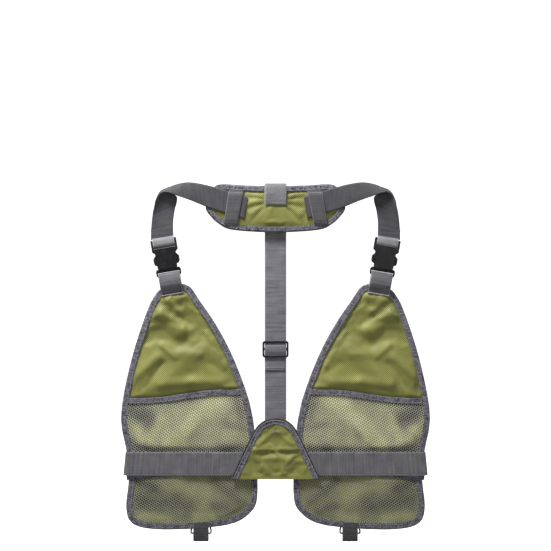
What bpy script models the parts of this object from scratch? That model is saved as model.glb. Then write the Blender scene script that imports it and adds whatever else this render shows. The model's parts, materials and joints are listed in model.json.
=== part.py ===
"""Fishing vest: a webbing back harness with a neck pad, a waist patch and two pocketed front panels.

Metres, +Z up, +Y towards the wearer's front, -X to the wearer's left. The origin is the middle of the
back patch's body side, on the belt's centre line. Each outline is drawn for the left side, in
millimetres, and mirrored for the right.
"""
import math

import bmesh
import bpy
from mathutils import Vector

MM = 0.001
GAP = 0.3                      # clearance between neighbouring pieces
WEBBING = 38.0                 # width of the shoulder and centre webbing
BELT_HEIGHT = 40.0
WEB_THICK = 1.8
EDGE_BINDING = 11.0            # width of the folded tape round the panels and the patch
PAD_BINDING = 10.0

# Layers along Y in millimetres, as (side towards -Y, side towards +Y).
LINING_Y = (-1.2, 0.0)
BELT_Y = (-5.0, -3.0)
STRAP_Y = (-5.0, -3.2)
PATCH_SHELL_Y = (-8.0, -6.2)
PATCH_BINDING_Y = (-8.8, -5.4)
STRAP_END_Y = (-7.2, -5.4)
PAD_LINING_Y = (-6.5, -5.5)
PAD_FOAM_Y = (-14.8, -6.8)
PAD_SHELL_Y = (-16.3, -15.1)
PAD_BINDING_Y = (-16.3, -5.3)
SHOULDER_Y = (-18.4, -16.6)
ANCHOR_Y = (-20.5, -18.7)
PANEL_BODY_Y = (3.0, 4.6)
PANEL_BINDING_Y = (0.0, 6.4)
MESH_Y = (0.5, 2.5)
TAB_Y = (-2.2, -0.4)
BELT_END_Y = (6.8, 8.6)
POCKET_BACK_Y = 4.9

# Outlines in the XZ plane, anticlockwise.
PANEL = [(-207, 303), (-239, 231), (-262, 147), (-272, 77), (-262, 21), (-258, -28), (-263, -77),
         (-250, -108), (-193, -117), (-88, -109.5), (-45, -88), (-31, -50), (-39, 77), (-64, 161),
         (-97, 231), (-134, 287), (-158, 315)]
NECK_PAD = [(0, 486.5), (-60, 488), (-94, 490), (-109, 483), (-123, 450), (-111, 430.5), (-99, 420),
            (-76, 409.5), (0, 405), (76, 409.5), (99, 420), (111, 430.5), (123, 450), (109, 483),
            (94, 490), (60, 488)]
# The arch runs on below the hem, which cuts it off.
PATCH_ARCH = [(-87.5, -49), (-78, -27), (-53, 27), (-34, 63), (-18, 76.5), (0, 80), (18, 76.5), (34, 63),
              (53, 27), (78, -27), (87.5, -49)]
PATCH_HEM_Z = -27.0
LUMBAR_HALF = 29.0             # half width of the patch lining, which stays clear of both panels
STRAP_ANCHOR = [(-81, 478), (-90, 420), (-67, 420), (-55, 478)]
SHOULDER_PATH = [(-52, 449), (-81, 456), (-126, 470), (-155, 474), (-185, 471), (-210, 462)]
FRONT_RUN_PATH = [(-200, 472), (-196, 451), (-199, 430), (-200, 409), (-198, 396)]
STRAP_TAB = [(-205.5, 335.5), (-203, 301.5), (-163, 309), (-168, 341.5)]
BELT = [(-259, 20), (-263, -20), (263, -20), (259, 20)]
BELT_END = ((-261.5, -20), (-225.5, 20))

# Mesh pockets.
MESH_TOP = [(-262, 113.8), (-64, 129.7)]
MESH_BINDING = 10.0
MESH_SPLIT_Z = -4.0

# Centre strap and its adjuster.
STRAP_FOOT_Z = 24.0
STRAP_TOP_Z = 487.4
STRAP_SEWN_Z = 454.0
SLIDER_SIZE = (46.0, 29.0)
SLIDER_Z = 201.0
SLIDER_BAR = 3.5
SLIDER_FRONT_Y = (-10.4, -7.6)
SLIDER_BACK_Y = (-2.7, -0.6)
SLIDER_CORNERS = (4.0, 1.5)
SLIDER_JOIN = 0.2              # how far the back bar's ends run into the frame
SLIDER_BACK_HALF = 2.5
STRAP_END_Z = (164.5, 213.0)

# Shoulder buckle, in its own frame: across, and up from its centre.
BUCKLE_CENTRE = (-191.5, -5.5, 361.5)
BUCKLE_TILT = 9.7
BUCKLE_WIDTH = 45.0
HOUSING_TOP = 33.0
HOUSING_FOOT = -15.0
HOUSING_THICK = 12.0
CAVITY_THICK = 7.2
EAR_WIDTH = 3.1
BAR_RADIUS = 2.2
INSERT_THICK = 5.8
INSERT_BASE = (-19.0, -33.0)
PRONG_THICK = 5.2
PRONG_ROOT = (12.75, -18.4)
PRONG = [(10.5, -18.4), (15, -18.4), (16.5, -13.5), (21.6, -11), (22.6, -5), (22.4, 1), (18, 6),
         (12.5, 7), (11.8, -8)]
HOUSING_SIDE = [(-BUCKLE_WIDTH / 2, HOUSING_TOP), (-BUCKLE_WIDTH / 2, 12), (-18, 8),
                (-17.2, HOUSING_FOOT + 3), (-13, HOUSING_FOOT)]
WINDOW = (19.0, 8.0)           # height of the strap's window and how far its middle is below the top
CAVITY = (60.0, 28.0, -5.0)    # width, height and middle of the cavity
BAR_DROP = 4.5
INSERT_SIDE = [(-4.5, 7.5), (-4.5, INSERT_BASE[0]), (-19, INSERT_BASE[0]), (-22, INSERT_BASE[0] - 3),
               (-22, INSERT_BASE[1] + 3), (-20, INSERT_BASE[1])]
INSERT_SLOT = (19.4, 4.0, 7.5)  # half width, then the foot and top above the insert's foot
HOUSING_EDGE = 1.0
INSERT_EDGE = 0.6

# Hem tab and ring.
HEM_X = -131.0
HEM_WIDTH = 27.0
RING_AXIS = (2.0, -123.0)
RING_HALF = 17.5
RING_WIRE = 1.5
RING_LEG = 4.5
RING_TILT = 40.0
RING_HOLE = 2.0
HEM_SIDE = [(-2.6, -108), (-2.6, -137), (6, -137), (6, -116), (-0.4, -116), (-0.4, -108)]

# Front pockets.
CHEST_X = (-213.0, -117.0)
CHEST_SIDE = [(4.9, 150), (18, 150), (19, 158), (8, 228), (4.9, 228)]
FLAP_X = (-215.0, -115.0)
FLAP_SIDE = [(7.5, 234), (13.3, 197), (14.9, 197), (9.1, 234)]
FLAP_AXIS = (8.3, 234.0)
CARGO_X = (-222.0, -70.0)
CARGO_SIDE = [(4.9, -84), (26, -84), (31, -76), (31, 32), (25, 58), (4.9, 58)]
ZIP_Y = 31.3
ZIP_TAPE_X = (-216.0, -76.0)
ZIP_TAPE_Z = (15.0, 29.0)
ZIP_TAPE_THICK = 1.2
ZIP_SLIDER_X = -208.0
ZIP_SLIDER_SIZE = (8.0, 3.6, 11.0)
ZIP_SLIDER_SIDE = [(0, -0.5), (0.7, -0.5), (1, -0.2), (1, 0.3), (0.7, 0.5), (0, 0.5)]  # shares of the size
PULLER_Y = (36.9, 38.4)
PULLER_AXIS_Z = 25.0
PULLER = [(-2.2, 25.6), (-3.2, 19), (-3.6, 3), (0, 0.5), (3.6, 3), (3.2, 19), (2.2, 25.6)]
PULLER_EYE_Z = 22.0
PULLER_EYE_RADIUS = 1.2

# Front closure.
CLOSURE_Z = 20.0
CLOSURE_WEB = 25.0
CLOSURE_PATH = [(-66, 7.7), (-52, 7.7), (-43.5, 12)]
CLOSURE_AXIS = (-42.5, 12.0)
CLOSURE_THICK = 10.0
CLOSURE_HOUSING = [(-41, 16), (-25, 16), (-21, 12.5), (-4, 12.5), (-2, 11.5)]
CLOSURE_INSERT = [(41, 16), (29, 16), (28, 12.6), (20, 15.6), (12, 15.6), (4, 11), (4, 8.2), (27, 8.2),
                  (27, 3), (4, 2.4)]
CLOSURE_SLOT_X = (34.0, 38.0)
CLOSURE_CAVITY_X = -11.0
CLOSURE_CAVITY = (24.0, 5.6, 40.0)

PANEL_HINGE = (-264.0, -2.8)

# Kinds of finish: colour, roughness, metallic.
FINISH = {
    "ripstop": ((0.30, 0.33, 0.06), 0.55, 0.0),
    "webbing": ((0.14, 0.14, 0.15), 0.75, 0.0),
    "binding": ((0.12, 0.115, 0.14), 0.85, 0.0),
    "mesh": ((0.33, 0.34, 0.20), 0.8, 0.0),
    "foam": ((0.75, 0.75, 0.70), 0.95, 0.0),
    "plastic": ((0.02, 0.02, 0.025), 0.4, 0.0),
    "wire": ((0.35, 0.35, 0.36), 0.3, 1.0),
}


# ---------------------------------------------------------------- outlines

def points(pairs):
    """Pairs in millimetres as vectors in metres."""
    return [Vector(pair) * MM for pair in pairs]


def smooth(path, closed=False, steps=3):
    """A Catmull-Rom curve through the path's points."""
    count = len(path)
    spans = count if closed else count - 1

    def at(index):
        return path[index % count] if closed else path[min(max(index, 0), count - 1)]

    curve = []
    for i in range(spans):
        a, b, c, d = at(i - 1), at(i), at(i + 1), at(i + 2)
        for step in range(steps):
            t = step / steps
            curve.append(0.5 * (2 * b + (c - a) * t + (2 * a - 5 * b + 4 * c - d) * t ** 2
                                + (3 * b - a - 3 * c + d) * t ** 3))
    return curve if closed else curve + [path[-1]]


def inset(loop, distance):
    """An anticlockwise outline moved inwards, with its corners mitred."""
    moved = []
    for i, corner in enumerate(loop):
        before = (corner - loop[i - 1]).normalized()
        after = (loop[(i + 1) % len(loop)] - corner).normalized()
        inward = Vector((-before.y, before.x)) + Vector((-after.y, after.x))
        moved.append(corner + inward * distance * MM / (1 + before.dot(after)))
    return moved


def ribbon(path, width):
    """Outline of a strip of even width along a path."""
    left, right = [], []
    last = len(path) - 1
    for i, point in enumerate(path):
        along = (path[min(i + 1, last)] - path[max(i - 1, 0)]).normalized()
        across = Vector((-along.y, along.x)) * width * MM / 2
        left.append(point + across)
        right.append(point - across)
    return left + right[::-1]


def clip(loop, point, normal):
    """The part of a loop behind the line through a point with this normal."""
    kept = []
    for i, end in enumerate(loop):
        start = loop[i - 1]
        depth_start = (start - point).dot(normal)
        depth_end = (end - point).dot(normal)
        if depth_start * depth_end < 0:
            kept.append(start.lerp(end, depth_start / (depth_start - depth_end)))
        if depth_end <= 0:
            kept.append(end)
    return kept


def rectangle(low, high):
    """Outline of a rectangle from its corners in millimetres."""
    return points([(low[0], low[1]), (high[0], low[1]), (high[0], high[1]), (low[0], high[1])])


def rounded_rectangle(width, height, radius, centre=(0.0, 0.0), steps=3):
    """Outline of a rectangle with round corners, in millimetres."""
    loop = []
    for quarter, (sx, sz) in enumerate([(1, 1), (-1, 1), (-1, -1), (1, -1)]):
        for step in range(steps + 1):
            angle = math.radians(90 * (quarter + step / steps))
            loop.append((centre[0] + sx * (width / 2 - radius) + radius * math.cos(angle),
                         centre[1] + sz * (height / 2 - radius) + radius * math.sin(angle)))
    return points(loop)


def circle(centre, radius, count=12):
    """Outline of a circle, in millimetres."""
    turn = 2 * math.pi / count
    return points([(centre[0] + radius * math.cos(turn * i), centre[1] + radius * math.sin(turn * i))
                   for i in range(count)])


def mirror(loop, side):
    """The left side's outline for side -1, and its mirror image for side +1."""
    if side < 0:
        return loop
    return [Vector((-point.x, point.y)) for point in reversed(loop)]


# ---------------------------------------------------------------- objects

def new_collection(name):
    collection = bpy.data.collections.new(name)
    bpy.context.scene.collection.children.link(collection)
    return collection


def new_material(name, kind):
    colour, roughness, metallic = FINISH[kind]
    material = bpy.data.materials.new(name)
    material.use_nodes = True
    shader = material.node_tree.nodes["Principled BSDF"]
    shader.inputs["Base Color"].default_value = (*colour, 1.0)
    shader.inputs["Roughness"].default_value = roughness
    shader.inputs["Metallic"].default_value = metallic
    material.diffuse_color = (*colour, 1.0)
    return material


def add(name, data, kind, location=(0, 0, 0), rotation=(0, 0, 0)):
    """A new part with a finish of its own."""
    obj = bpy.data.objects.new(name, data)
    VEST.objects.link(obj)
    obj.location = location
    obj.rotation_euler = rotation
    data.materials.append(new_material(name, kind))
    return obj


def pivot(name, location, parent=None, rotation=(0, 0, 0)):
    """An empty on a joint's axis, in world millimetres."""
    empty = bpy.data.objects.new(name, None)
    empty.empty_display_size = 10 * MM
    VEST.objects.link(empty)
    empty.location = Vector(location) * MM
    empty.rotation_euler = rotation
    if parent:
        hang(empty, parent)
    return empty


def hang(obj, parent):
    """Parent an object and leave it where it is."""
    bpy.context.view_layer.update()
    obj.parent = parent
    obj.matrix_parent_inverse = parent.matrix_world.inverted()


def filled_curve(name, loops, half_depth):
    """A flat filled outline with holes, extruded both ways."""
    curve = bpy.data.curves.new(name, "CURVE")
    curve.dimensions = "2D"
    curve.fill_mode = "BOTH"
    curve.extrude = half_depth
    for loop in loops:
        spline = curve.splines.new("POLY")
        spline.points.add(len(loop) - 1)
        for point, corner in zip(spline.points, loop):
            point.co = (corner.x, corner.y, 0.0, 1.0)
        spline.use_cyclic_u = True
    return curve


def sheet(name, loops, layer, kind):
    """A plate standing in the XZ plane, between two Y values in millimetres."""
    curve = filled_curve(name, loops, (layer[1] - layer[0]) / 2 * MM)
    return add(name, curve, kind, (0, (layer[0] + layer[1]) / 2 * MM, 0), (math.radians(90), 0, 0))


def beam(name, loops, span, kind):
    """A side profile in the YZ plane, run along X between two values in millimetres."""
    curve = filled_curve(name, loops, abs(span[1] - span[0]) / 2 * MM)
    turn = (math.radians(90), 0, math.radians(90))
    return add(name, curve, kind, ((span[0] + span[1]) / 2 * MM, 0, 0), turn)


def tower(name, loops, span, kind):
    """A plan in the XY plane, run along Z between two values in millimetres."""
    curve = filled_curve(name, loops, (span[1] - span[0]) / 2 * MM)
    return add(name, curve, kind, (0, 0, (span[0] + span[1]) / 2 * MM))


def as_mesh(obj):
    """Replace a curve object by a closed mesh object of the same name and place."""
    graph = bpy.context.evaluated_depsgraph_get()
    mesh = bpy.data.meshes.new_from_object(obj.evaluated_get(graph))
    form = bmesh.new()
    form.from_mesh(mesh)
    bmesh.ops.remove_doubles(form, verts=form.verts, dist=0.00001)
    bmesh.ops.recalc_face_normals(form, faces=form.faces)
    form.to_mesh(mesh)
    form.free()
    name, parent, place = obj.name, obj.parent, obj.matrix_world.copy()
    bpy.data.objects.remove(obj)
    solid = bpy.data.objects.new(name, mesh)
    VEST.objects.link(solid)
    solid.matrix_world = place
    if parent:
        hang(solid, parent)
    return solid


def combine(obj, other, operation):
    """Cut an object by another, or join the two; the other one becomes a hidden guide."""
    for holder in other.users_collection:
        holder.objects.unlink(other)
    CUTTERS.objects.link(other)
    other.hide_render = True
    other.display_type = "WIRE"
    boolean = obj.modifiers.new(operation.title(), "BOOLEAN")
    boolean.operation = operation
    boolean.solver = "EXACT"
    boolean.object = other


def box(name, centre, size, parent):
    """A box guide in its parent's frame, in millimetres."""
    mesh = bpy.data.meshes.new(name)
    form = bmesh.new()
    bmesh.ops.create_cube(form, size=1.0)
    bmesh.ops.scale(form, vec=Vector(size) * MM, verts=form.verts)
    form.to_mesh(mesh)
    form.free()
    obj = bpy.data.objects.new(name, mesh)
    VEST.objects.link(obj)
    obj.location = Vector(centre) * MM
    obj.parent = parent
    return obj


def rod(name, centre, radius, length, parent):
    """A round bar along X in its parent's frame, in millimetres."""
    mesh = bpy.data.meshes.new(name)
    form = bmesh.new()
    bmesh.ops.create_cone(form, cap_ends=True, segments=16, radius1=radius * MM, radius2=radius * MM,
                          depth=length * MM)
    form.to_mesh(mesh)
    form.free()
    obj = bpy.data.objects.new(name, mesh)
    VEST.objects.link(obj)
    obj.location = Vector(centre) * MM
    obj.rotation_euler = (0, math.radians(90), 0)
    obj.parent = parent
    return obj


def local_sheet(name, loops, thick, kind, parent):
    """A plate in its parent's XZ plane, centred on it."""
    curve = filled_curve(name, loops, thick / 2 * MM)
    obj = add(name, curve, kind, (0, 0, 0), (math.radians(90), 0, 0))
    obj.parent = parent
    bpy.context.view_layer.update()
    return obj


def soften(obj, width, segments=2):
    """Small rounded edges on a moulded piece."""
    bevel = obj.modifiers.new("Bevel", "BEVEL")
    bevel.width = width * MM
    bevel.segments = segments
    bevel.limit_method = "ANGLE"
    bevel.angle_limit = math.radians(50)


# ---------------------------------------------------------------- back harness

def build_neck_pad():
    outline = points(NECK_PAD)
    edge = smooth(outline, closed=True)
    inner = smooth(inset(outline, PAD_BINDING), closed=True)
    filling = smooth(inset(outline, PAD_BINDING + GAP), closed=True)
    sheet("neck_pad_shell", [filling], PAD_SHELL_Y, "ripstop")
    sheet("neck_pad_foam", [filling], PAD_FOAM_Y, "foam")
    # The lining is two pieces, one on each side of the centre strap.
    clear = Vector((WEBBING / 2 + GAP, 0)) * MM
    for side, word in ((-1, "left"), (1, "right")):
        half = clip(filling, side * clear, Vector((-side, 0)))
        sheet("neck_pad_lining_" + word, [half], PAD_LINING_Y, "ripstop")
    sheet("neck_pad_binding", [edge, inner], PAD_BINDING_Y, "binding")


def build_shoulder_strap(side, word):
    anchor = mirror(points(STRAP_ANCHOR), side)
    sheet("strap_anchor_" + word, [anchor], ANCHOR_Y, "webbing")
    run = ribbon(smooth(points(SHOULDER_PATH)), WEBBING)
    sheet("shoulder_strap_" + word, [mirror(run, side)], SHOULDER_Y, "webbing")


def strap_hook():
    """Side profile of the centre strap: up behind the pad, over its top edge and down its face."""
    back, front = sum(STRAP_Y) / 2, sum(SHOULDER_Y) / 2
    middle, reach = (back + front) / 2, (back - front) / 2
    line = [(back, STRAP_FOOT_Z), (back, STRAP_TOP_Z)]
    for step in range(1, 6):
        angle = math.pi * step / 6
        line.append((middle + reach * math.cos(angle), STRAP_TOP_Z + 2.6 * math.sin(angle)))
    line += [(front, STRAP_TOP_Z), (front, STRAP_SEWN_Z)]
    return ribbon(points(line), WEB_THICK)


def build_centre_strap():
    beam("centre_strap", [strap_hook()], (-WEBBING / 2, WEBBING / 2), "webbing")


def build_centre_adjuster():
    joint = pivot("centre_adjuster_joint", (0, 0, SLIDER_Z))
    width, height = SLIDER_SIZE
    centre = (0, SLIDER_Z)
    ring = [rounded_rectangle(width, height, SLIDER_CORNERS[0], centre),
            rounded_rectangle(width - 2 * SLIDER_BAR, height - 2 * SLIDER_BAR, SLIDER_CORNERS[1], centre)]
    slider = as_mesh(sheet("centre_slider", ring, SLIDER_FRONT_Y, "plastic"))
    outer, inner = width / 2 - SLIDER_JOIN, width / 2 - SLIDER_BAR + SLIDER_JOIN
    front = sum(SLIDER_FRONT_Y) / 2
    low, high = SLIDER_BACK_Y
    staple = points([(-outer, front), (-inner, front), (-inner, low), (inner, low), (inner, front),
                     (outer, front), (outer, high), (-outer, high)])
    bar = as_mesh(tower("centre_bar_guide", [staple],
                        (SLIDER_Z - SLIDER_BACK_HALF, SLIDER_Z + SLIDER_BACK_HALF), "plastic"))
    combine(slider, bar, "UNION")
    half = WEBBING / 2
    end = sheet("centre_strap_end", [rectangle((-half, STRAP_END_Z[0]), (half, STRAP_END_Z[1]))],
                STRAP_END_Y, "webbing")
    for piece in (slider, bar, end):
        hang(piece, joint)


def build_back_patch():
    arch = points(PATCH_ARCH)
    hem = Vector((0, PATCH_HEM_Z * MM))
    # The arch runs clockwise, so a negative inset moves it inwards.
    inner = clip(smooth(inset(arch, -EDGE_BINDING - GAP)), hem, Vector((0, -1)))
    middle = smooth(inset(arch, -EDGE_BINDING / 2))
    sheet("back_patch_shell", [inner], PATCH_SHELL_Y, "ripstop")
    reach = Vector((LUMBAR_HALF, 0)) * MM
    lining = clip(smooth(arch), hem, Vector((0, -1)))
    lining = clip(clip(lining, reach, Vector((1, 0))), -reach, Vector((-1, 0)))
    sheet("back_patch_lining", [lining], LINING_Y, "ripstop")
    band = clip(ribbon(middle, EDGE_BINDING), hem, Vector((0, -1)))
    sheet("back_patch_binding", [band], PATCH_BINDING_Y, "binding")


def build_waist_belt():
    sheet("waist_belt", [points(BELT)], BELT_Y, "webbing")


# ---------------------------------------------------------------- front panels

def build_panel(side, word, hinge):
    outline = mirror(points(PANEL), side)
    inner = smooth(inset(outline, EDGE_BINDING), closed=True)
    filling = smooth(inset(outline, EDGE_BINDING + GAP), closed=True)
    pieces = [
        sheet(word + "_panel_body", [filling], PANEL_BODY_Y, "ripstop"),
        sheet(word + "_panel_binding", [smooth(outline, closed=True), inner], PANEL_BINDING_Y, "binding"),
    ]
    outer_end, inner_end = mirror(points(MESH_TOP), side)
    along = (inner_end - outer_end).normalized()
    up = Vector((-along.y, along.x))
    under = outer_end - up * (MESH_BINDING + GAP) * MM
    band = clip(clip(filling, outer_end, up), outer_end - up * MESH_BINDING * MM, -up)
    split = Vector((0, MESH_SPLIT_Z * MM))
    down = Vector((0, -1))
    upper = clip(clip(filling, under, up), split + Vector((0, GAP * MM)), down)
    lower = clip(filling, split, -down)
    pieces += [
        sheet(word + "_mesh_binding", [band], MESH_Y, "binding"),
        sheet(word + "_mesh_pocket_upper", [upper], MESH_Y, "mesh"),
        sheet(word + "_mesh_pocket_lower", [lower], MESH_Y, "mesh"),
        sheet(word + "_strap_tab", [mirror(points(STRAP_TAB), side)], TAB_Y, "webbing"),
        sheet(word + "_belt_end", [mirror(rectangle(*BELT_END), side)], BELT_END_Y,
              "webbing"),
        sheet(word + "_strap_front_run", [mirror(ribbon(smooth(points(FRONT_RUN_PATH)), WEBBING), side)],
              (BUCKLE_CENTRE[1] - WEB_THICK / 2, BUCKLE_CENTRE[1] + WEB_THICK / 2), "webbing"),
    ]
    for piece in pieces:
        hang(piece, hinge)


def build_front_pockets(side, word, hinge):
    flip = -side
    chest = beam(word + "_chest_pocket", [points(CHEST_SIDE)], (flip * CHEST_X[0], flip * CHEST_X[1]),
                 "ripstop")
    cargo = beam(word + "_cargo_pocket", [points(CARGO_SIDE)], (flip * CARGO_X[0], flip * CARGO_X[1]),
                 "ripstop")
    tape = beam(word + "_zip_tape",
                [rectangle((ZIP_Y, ZIP_TAPE_Z[0]), (ZIP_Y + ZIP_TAPE_THICK, ZIP_TAPE_Z[1]))],
                (flip * ZIP_TAPE_X[0], flip * ZIP_TAPE_X[1]), "webbing")
    for piece in (chest, cargo, tape):
        hang(piece, hinge)

    flap_joint = pivot(word + "_flap_joint", (flip * sum(FLAP_X) / 2, *FLAP_AXIS), hinge)
    hang(beam(word + "_chest_flap", [points(FLAP_SIDE)], (flip * FLAP_X[0], flip * FLAP_X[1]), "ripstop"),
         flap_joint)

    width, depth, height = ZIP_SLIDER_SIZE
    slide_x = flip * ZIP_SLIDER_X
    slide_y = ZIP_Y + ZIP_TAPE_THICK + GAP
    slide_z = sum(ZIP_TAPE_Z) / 2
    slide_joint = pivot(word + "_zip_joint", (slide_x, slide_y, slide_z), hinge)
    profile = points([(slide_y + depth * y, slide_z + height * z) for y, z in ZIP_SLIDER_SIDE])
    body = beam(word + "_zip_slider", [profile], (slide_x - width / 2, slide_x + width / 2), "wire")
    hang(body, slide_joint)
    puller_joint = pivot(word + "_puller_joint", (slide_x, sum(PULLER_Y) / 2, PULLER_AXIS_Z), slide_joint)
    shape = [corner + Vector((slide_x * MM, 0)) for corner in points(PULLER)]
    eye = circle((slide_x, PULLER_EYE_Z), PULLER_EYE_RADIUS, 8)
    hang(sheet(word + "_zip_puller", [shape, eye], PULLER_Y, "plastic"), puller_joint)


# ---------------------------------------------------------------- shoulder buckle

def build_buckle(side, word, hinge):
    tilt = math.radians(BUCKLE_TILT) * side
    centre = (-side * BUCKLE_CENTRE[0], BUCKLE_CENTRE[1], BUCKLE_CENTRE[2])
    frame = pivot(word + "_buckle_frame", centre, hinge, (0, tilt, 0))
    loop = points(HOUSING_SIDE + [(-x, z) for x, z in reversed(HOUSING_SIDE)])
    housing = as_mesh(local_sheet(word + "_buckle_housing", [loop], HOUSING_THICK, "plastic", frame))
    soften(housing, HOUSING_EDGE)
    width = BUCKLE_WIDTH - 2 * EAR_WIDTH
    window_height, window_drop = WINDOW
    window = box(word + "_ear_cutter", (0, 0, HOUSING_TOP - window_drop),
                 (width, 2 * HOUSING_THICK, window_height), frame)
    cavity_width, cavity_height, cavity_middle = CAVITY
    cavity = box(word + "_cavity_cutter", (0, 0, cavity_middle), (cavity_width, CAVITY_THICK, cavity_height),
                 frame)
    bar = rod(word + "_bar_guide", (0, 0, HOUSING_TOP - BAR_DROP), BAR_RADIUS, BUCKLE_WIDTH - EAR_WIDTH,
              frame)
    combine(housing, window, "DIFFERENCE")
    combine(housing, cavity, "DIFFERENCE")
    combine(housing, bar, "UNION")

    insert_joint = pivot(word + "_insert_joint", centre, hinge, (0, tilt, 0))
    loop = points(INSERT_SIDE + [(-x, z) for x, z in reversed(INSERT_SIDE)])
    foot = INSERT_BASE[1]
    slot_half, slot_foot, slot_top = INSERT_SLOT
    slot = rectangle((-slot_half, foot + slot_foot), (slot_half, foot + slot_top))
    insert = as_mesh(local_sheet(word + "_buckle_insert", [loop, slot], INSERT_THICK, "plastic",
                                 insert_joint))
    soften(insert, INSERT_EDGE)

    prong = points(PRONG)
    for direction, place in ((side, "outer"), (-side, "inner")):
        shape = prong if direction > 0 else [Vector((-point.x, point.y)) for point in reversed(prong)]
        piece = as_mesh(local_sheet(word + "_prong_" + place, [shape], PRONG_THICK, "plastic",
                                    insert_joint))
        soften(piece, INSERT_EDGE)
        bpy.context.view_layer.update()
        root = Vector((direction * PRONG_ROOT[0], 0, PRONG_ROOT[1])) * MM
        spot = insert_joint.matrix_world @ root
        joint = pivot(word + "_prong_" + place + "_joint", spot / MM, insert_joint)
        hang(piece, joint)


# ---------------------------------------------------------------- hem and closure

def build_hem(side, word, hinge):
    flip = -side
    bar_y, bar_z = RING_AXIS
    middle = flip * HEM_X
    tab = beam(word + "_hem_tab", [points(HEM_SIDE), circle(RING_AXIS, RING_HOLE)],
               (middle - HEM_WIDTH / 2, middle + HEM_WIDTH / 2), "webbing")
    hang(tab, hinge)

    joint = pivot(word + "_ring_joint", (middle, bar_y, bar_z), hinge)
    curve = bpy.data.curves.new(word + "_hem_ring", "CURVE")
    curve.dimensions = "3D"
    curve.bevel_depth = RING_WIRE * MM
    curve.bevel_resolution = 2
    line = [(-RING_HALF, 0), (RING_HALF, 0)]
    for step in range(13):
        angle = math.pi * step / 12
        line.append((RING_HALF * math.cos(angle), RING_LEG + RING_HALF * math.sin(angle)))
    spline = curve.splines.new("POLY")
    spline.points.add(len(line) - 1)
    for point, (across, up) in zip(spline.points, line):
        point.co = (across * MM, up * MM, 0.0, 1.0)
    spline.use_cyclic_u = True
    ring = add(word + "_hem_ring", curve, "wire", Vector((middle, bar_y, bar_z)) * MM,
               (math.radians(90 - RING_TILT), 0, 0))
    hang(ring, joint)


def build_closure(side, word, hinge):
    strap_plan = mirror(ribbon(points(CLOSURE_PATH), WEB_THICK), side)
    hang(tower(word + "_closure_strap", [strap_plan],
               (CLOSURE_Z - CLOSURE_WEB / 2, CLOSURE_Z + CLOSURE_WEB / 2), "webbing"), hinge)
    joint = pivot(word + "_closure_joint", (-side * CLOSURE_AXIS[0], CLOSURE_AXIS[1], CLOSURE_Z), hinge)
    upper = CLOSURE_HOUSING if side < 0 else CLOSURE_INSERT
    low, high = CLOSURE_SLOT_X
    half = CLOSURE_WEB / 2 + GAP
    outline = upper + [(x, -z) for x, z in reversed(upper)]
    slot = [(side * low, half), (side * high, half), (side * high, -half), (side * low, -half)]
    lift = Vector((0, CLOSURE_Z * MM))
    loops = [[point + lift for point in points(shape)] for shape in (outline, slot)]
    layer = (CLOSURE_AXIS[1] - CLOSURE_THICK / 2, CLOSURE_AXIS[1] + CLOSURE_THICK / 2)
    name = word + ("_closure_housing" if side < 0 else "_closure_insert")
    piece = as_mesh(sheet(name, loops, layer, "plastic"))
    if side < 0:
        cavity = box("left_closure_cutter", (CLOSURE_CAVITY_X, CLOSURE_AXIS[1], CLOSURE_Z),
                     CLOSURE_CAVITY, None)
        combine(piece, cavity, "DIFFERENCE")
        hang(cavity, joint)
    hang(piece, joint)


def build_vest():
    build_neck_pad()
    build_centre_strap()
    build_centre_adjuster()
    build_back_patch()
    build_waist_belt()
    for side, word in ((-1, "left"), (1, "right")):
        build_shoulder_strap(side, word)
        hinge = pivot(word + "_panel_joint", (-side * PANEL_HINGE[0], PANEL_HINGE[1], 0))
        build_panel(side, word, hinge)
        build_front_pockets(side, word, hinge)
        build_buckle(side, word, hinge)
        build_hem(side, word, hinge)
        build_closure(side, word, hinge)


for old in list(bpy.data.objects):
    bpy.data.objects.remove(old)
VEST = new_collection("fishing_vest")
CUTTERS = new_collection("cutters")
build_vest()
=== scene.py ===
"""Looks of the fishing vest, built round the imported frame.

Lengths are in metres. The vest is the same on both sides, so each paired piece is shaped once, on the
wearer's left (-X), and its mirror image is the right one. +Y is towards the wearer's front; the side
towards -Y is the back of the harness and the inner side of the front panels.
"""
import json
import math

import bmesh
import bpy
import numpy as np
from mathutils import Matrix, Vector, noise
from mathutils.geometry import delaunay_2d_cdt


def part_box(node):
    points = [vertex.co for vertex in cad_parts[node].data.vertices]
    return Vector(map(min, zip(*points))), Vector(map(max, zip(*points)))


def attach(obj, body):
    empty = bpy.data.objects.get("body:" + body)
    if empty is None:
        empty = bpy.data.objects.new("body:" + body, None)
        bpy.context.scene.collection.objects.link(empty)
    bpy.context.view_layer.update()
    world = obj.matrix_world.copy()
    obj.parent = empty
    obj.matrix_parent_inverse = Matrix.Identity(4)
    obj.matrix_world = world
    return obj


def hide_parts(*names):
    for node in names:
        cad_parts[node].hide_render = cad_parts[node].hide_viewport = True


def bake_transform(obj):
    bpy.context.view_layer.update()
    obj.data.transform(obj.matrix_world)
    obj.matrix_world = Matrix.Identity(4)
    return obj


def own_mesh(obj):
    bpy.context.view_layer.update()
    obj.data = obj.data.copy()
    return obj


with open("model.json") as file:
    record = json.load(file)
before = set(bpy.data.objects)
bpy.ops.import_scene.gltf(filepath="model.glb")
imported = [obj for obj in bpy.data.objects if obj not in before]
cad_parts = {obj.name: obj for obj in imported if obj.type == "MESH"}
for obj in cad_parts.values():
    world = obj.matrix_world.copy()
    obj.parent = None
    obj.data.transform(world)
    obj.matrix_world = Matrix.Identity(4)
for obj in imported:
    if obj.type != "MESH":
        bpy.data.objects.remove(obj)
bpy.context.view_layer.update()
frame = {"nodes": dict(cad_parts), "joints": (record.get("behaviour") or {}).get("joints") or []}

MM = 0.001
WEBBING = 38 * MM
WEB_THICK = 1.7 * MM
BINDING = 11 * MM
BACKWARD = (0, -1, 0)
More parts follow.
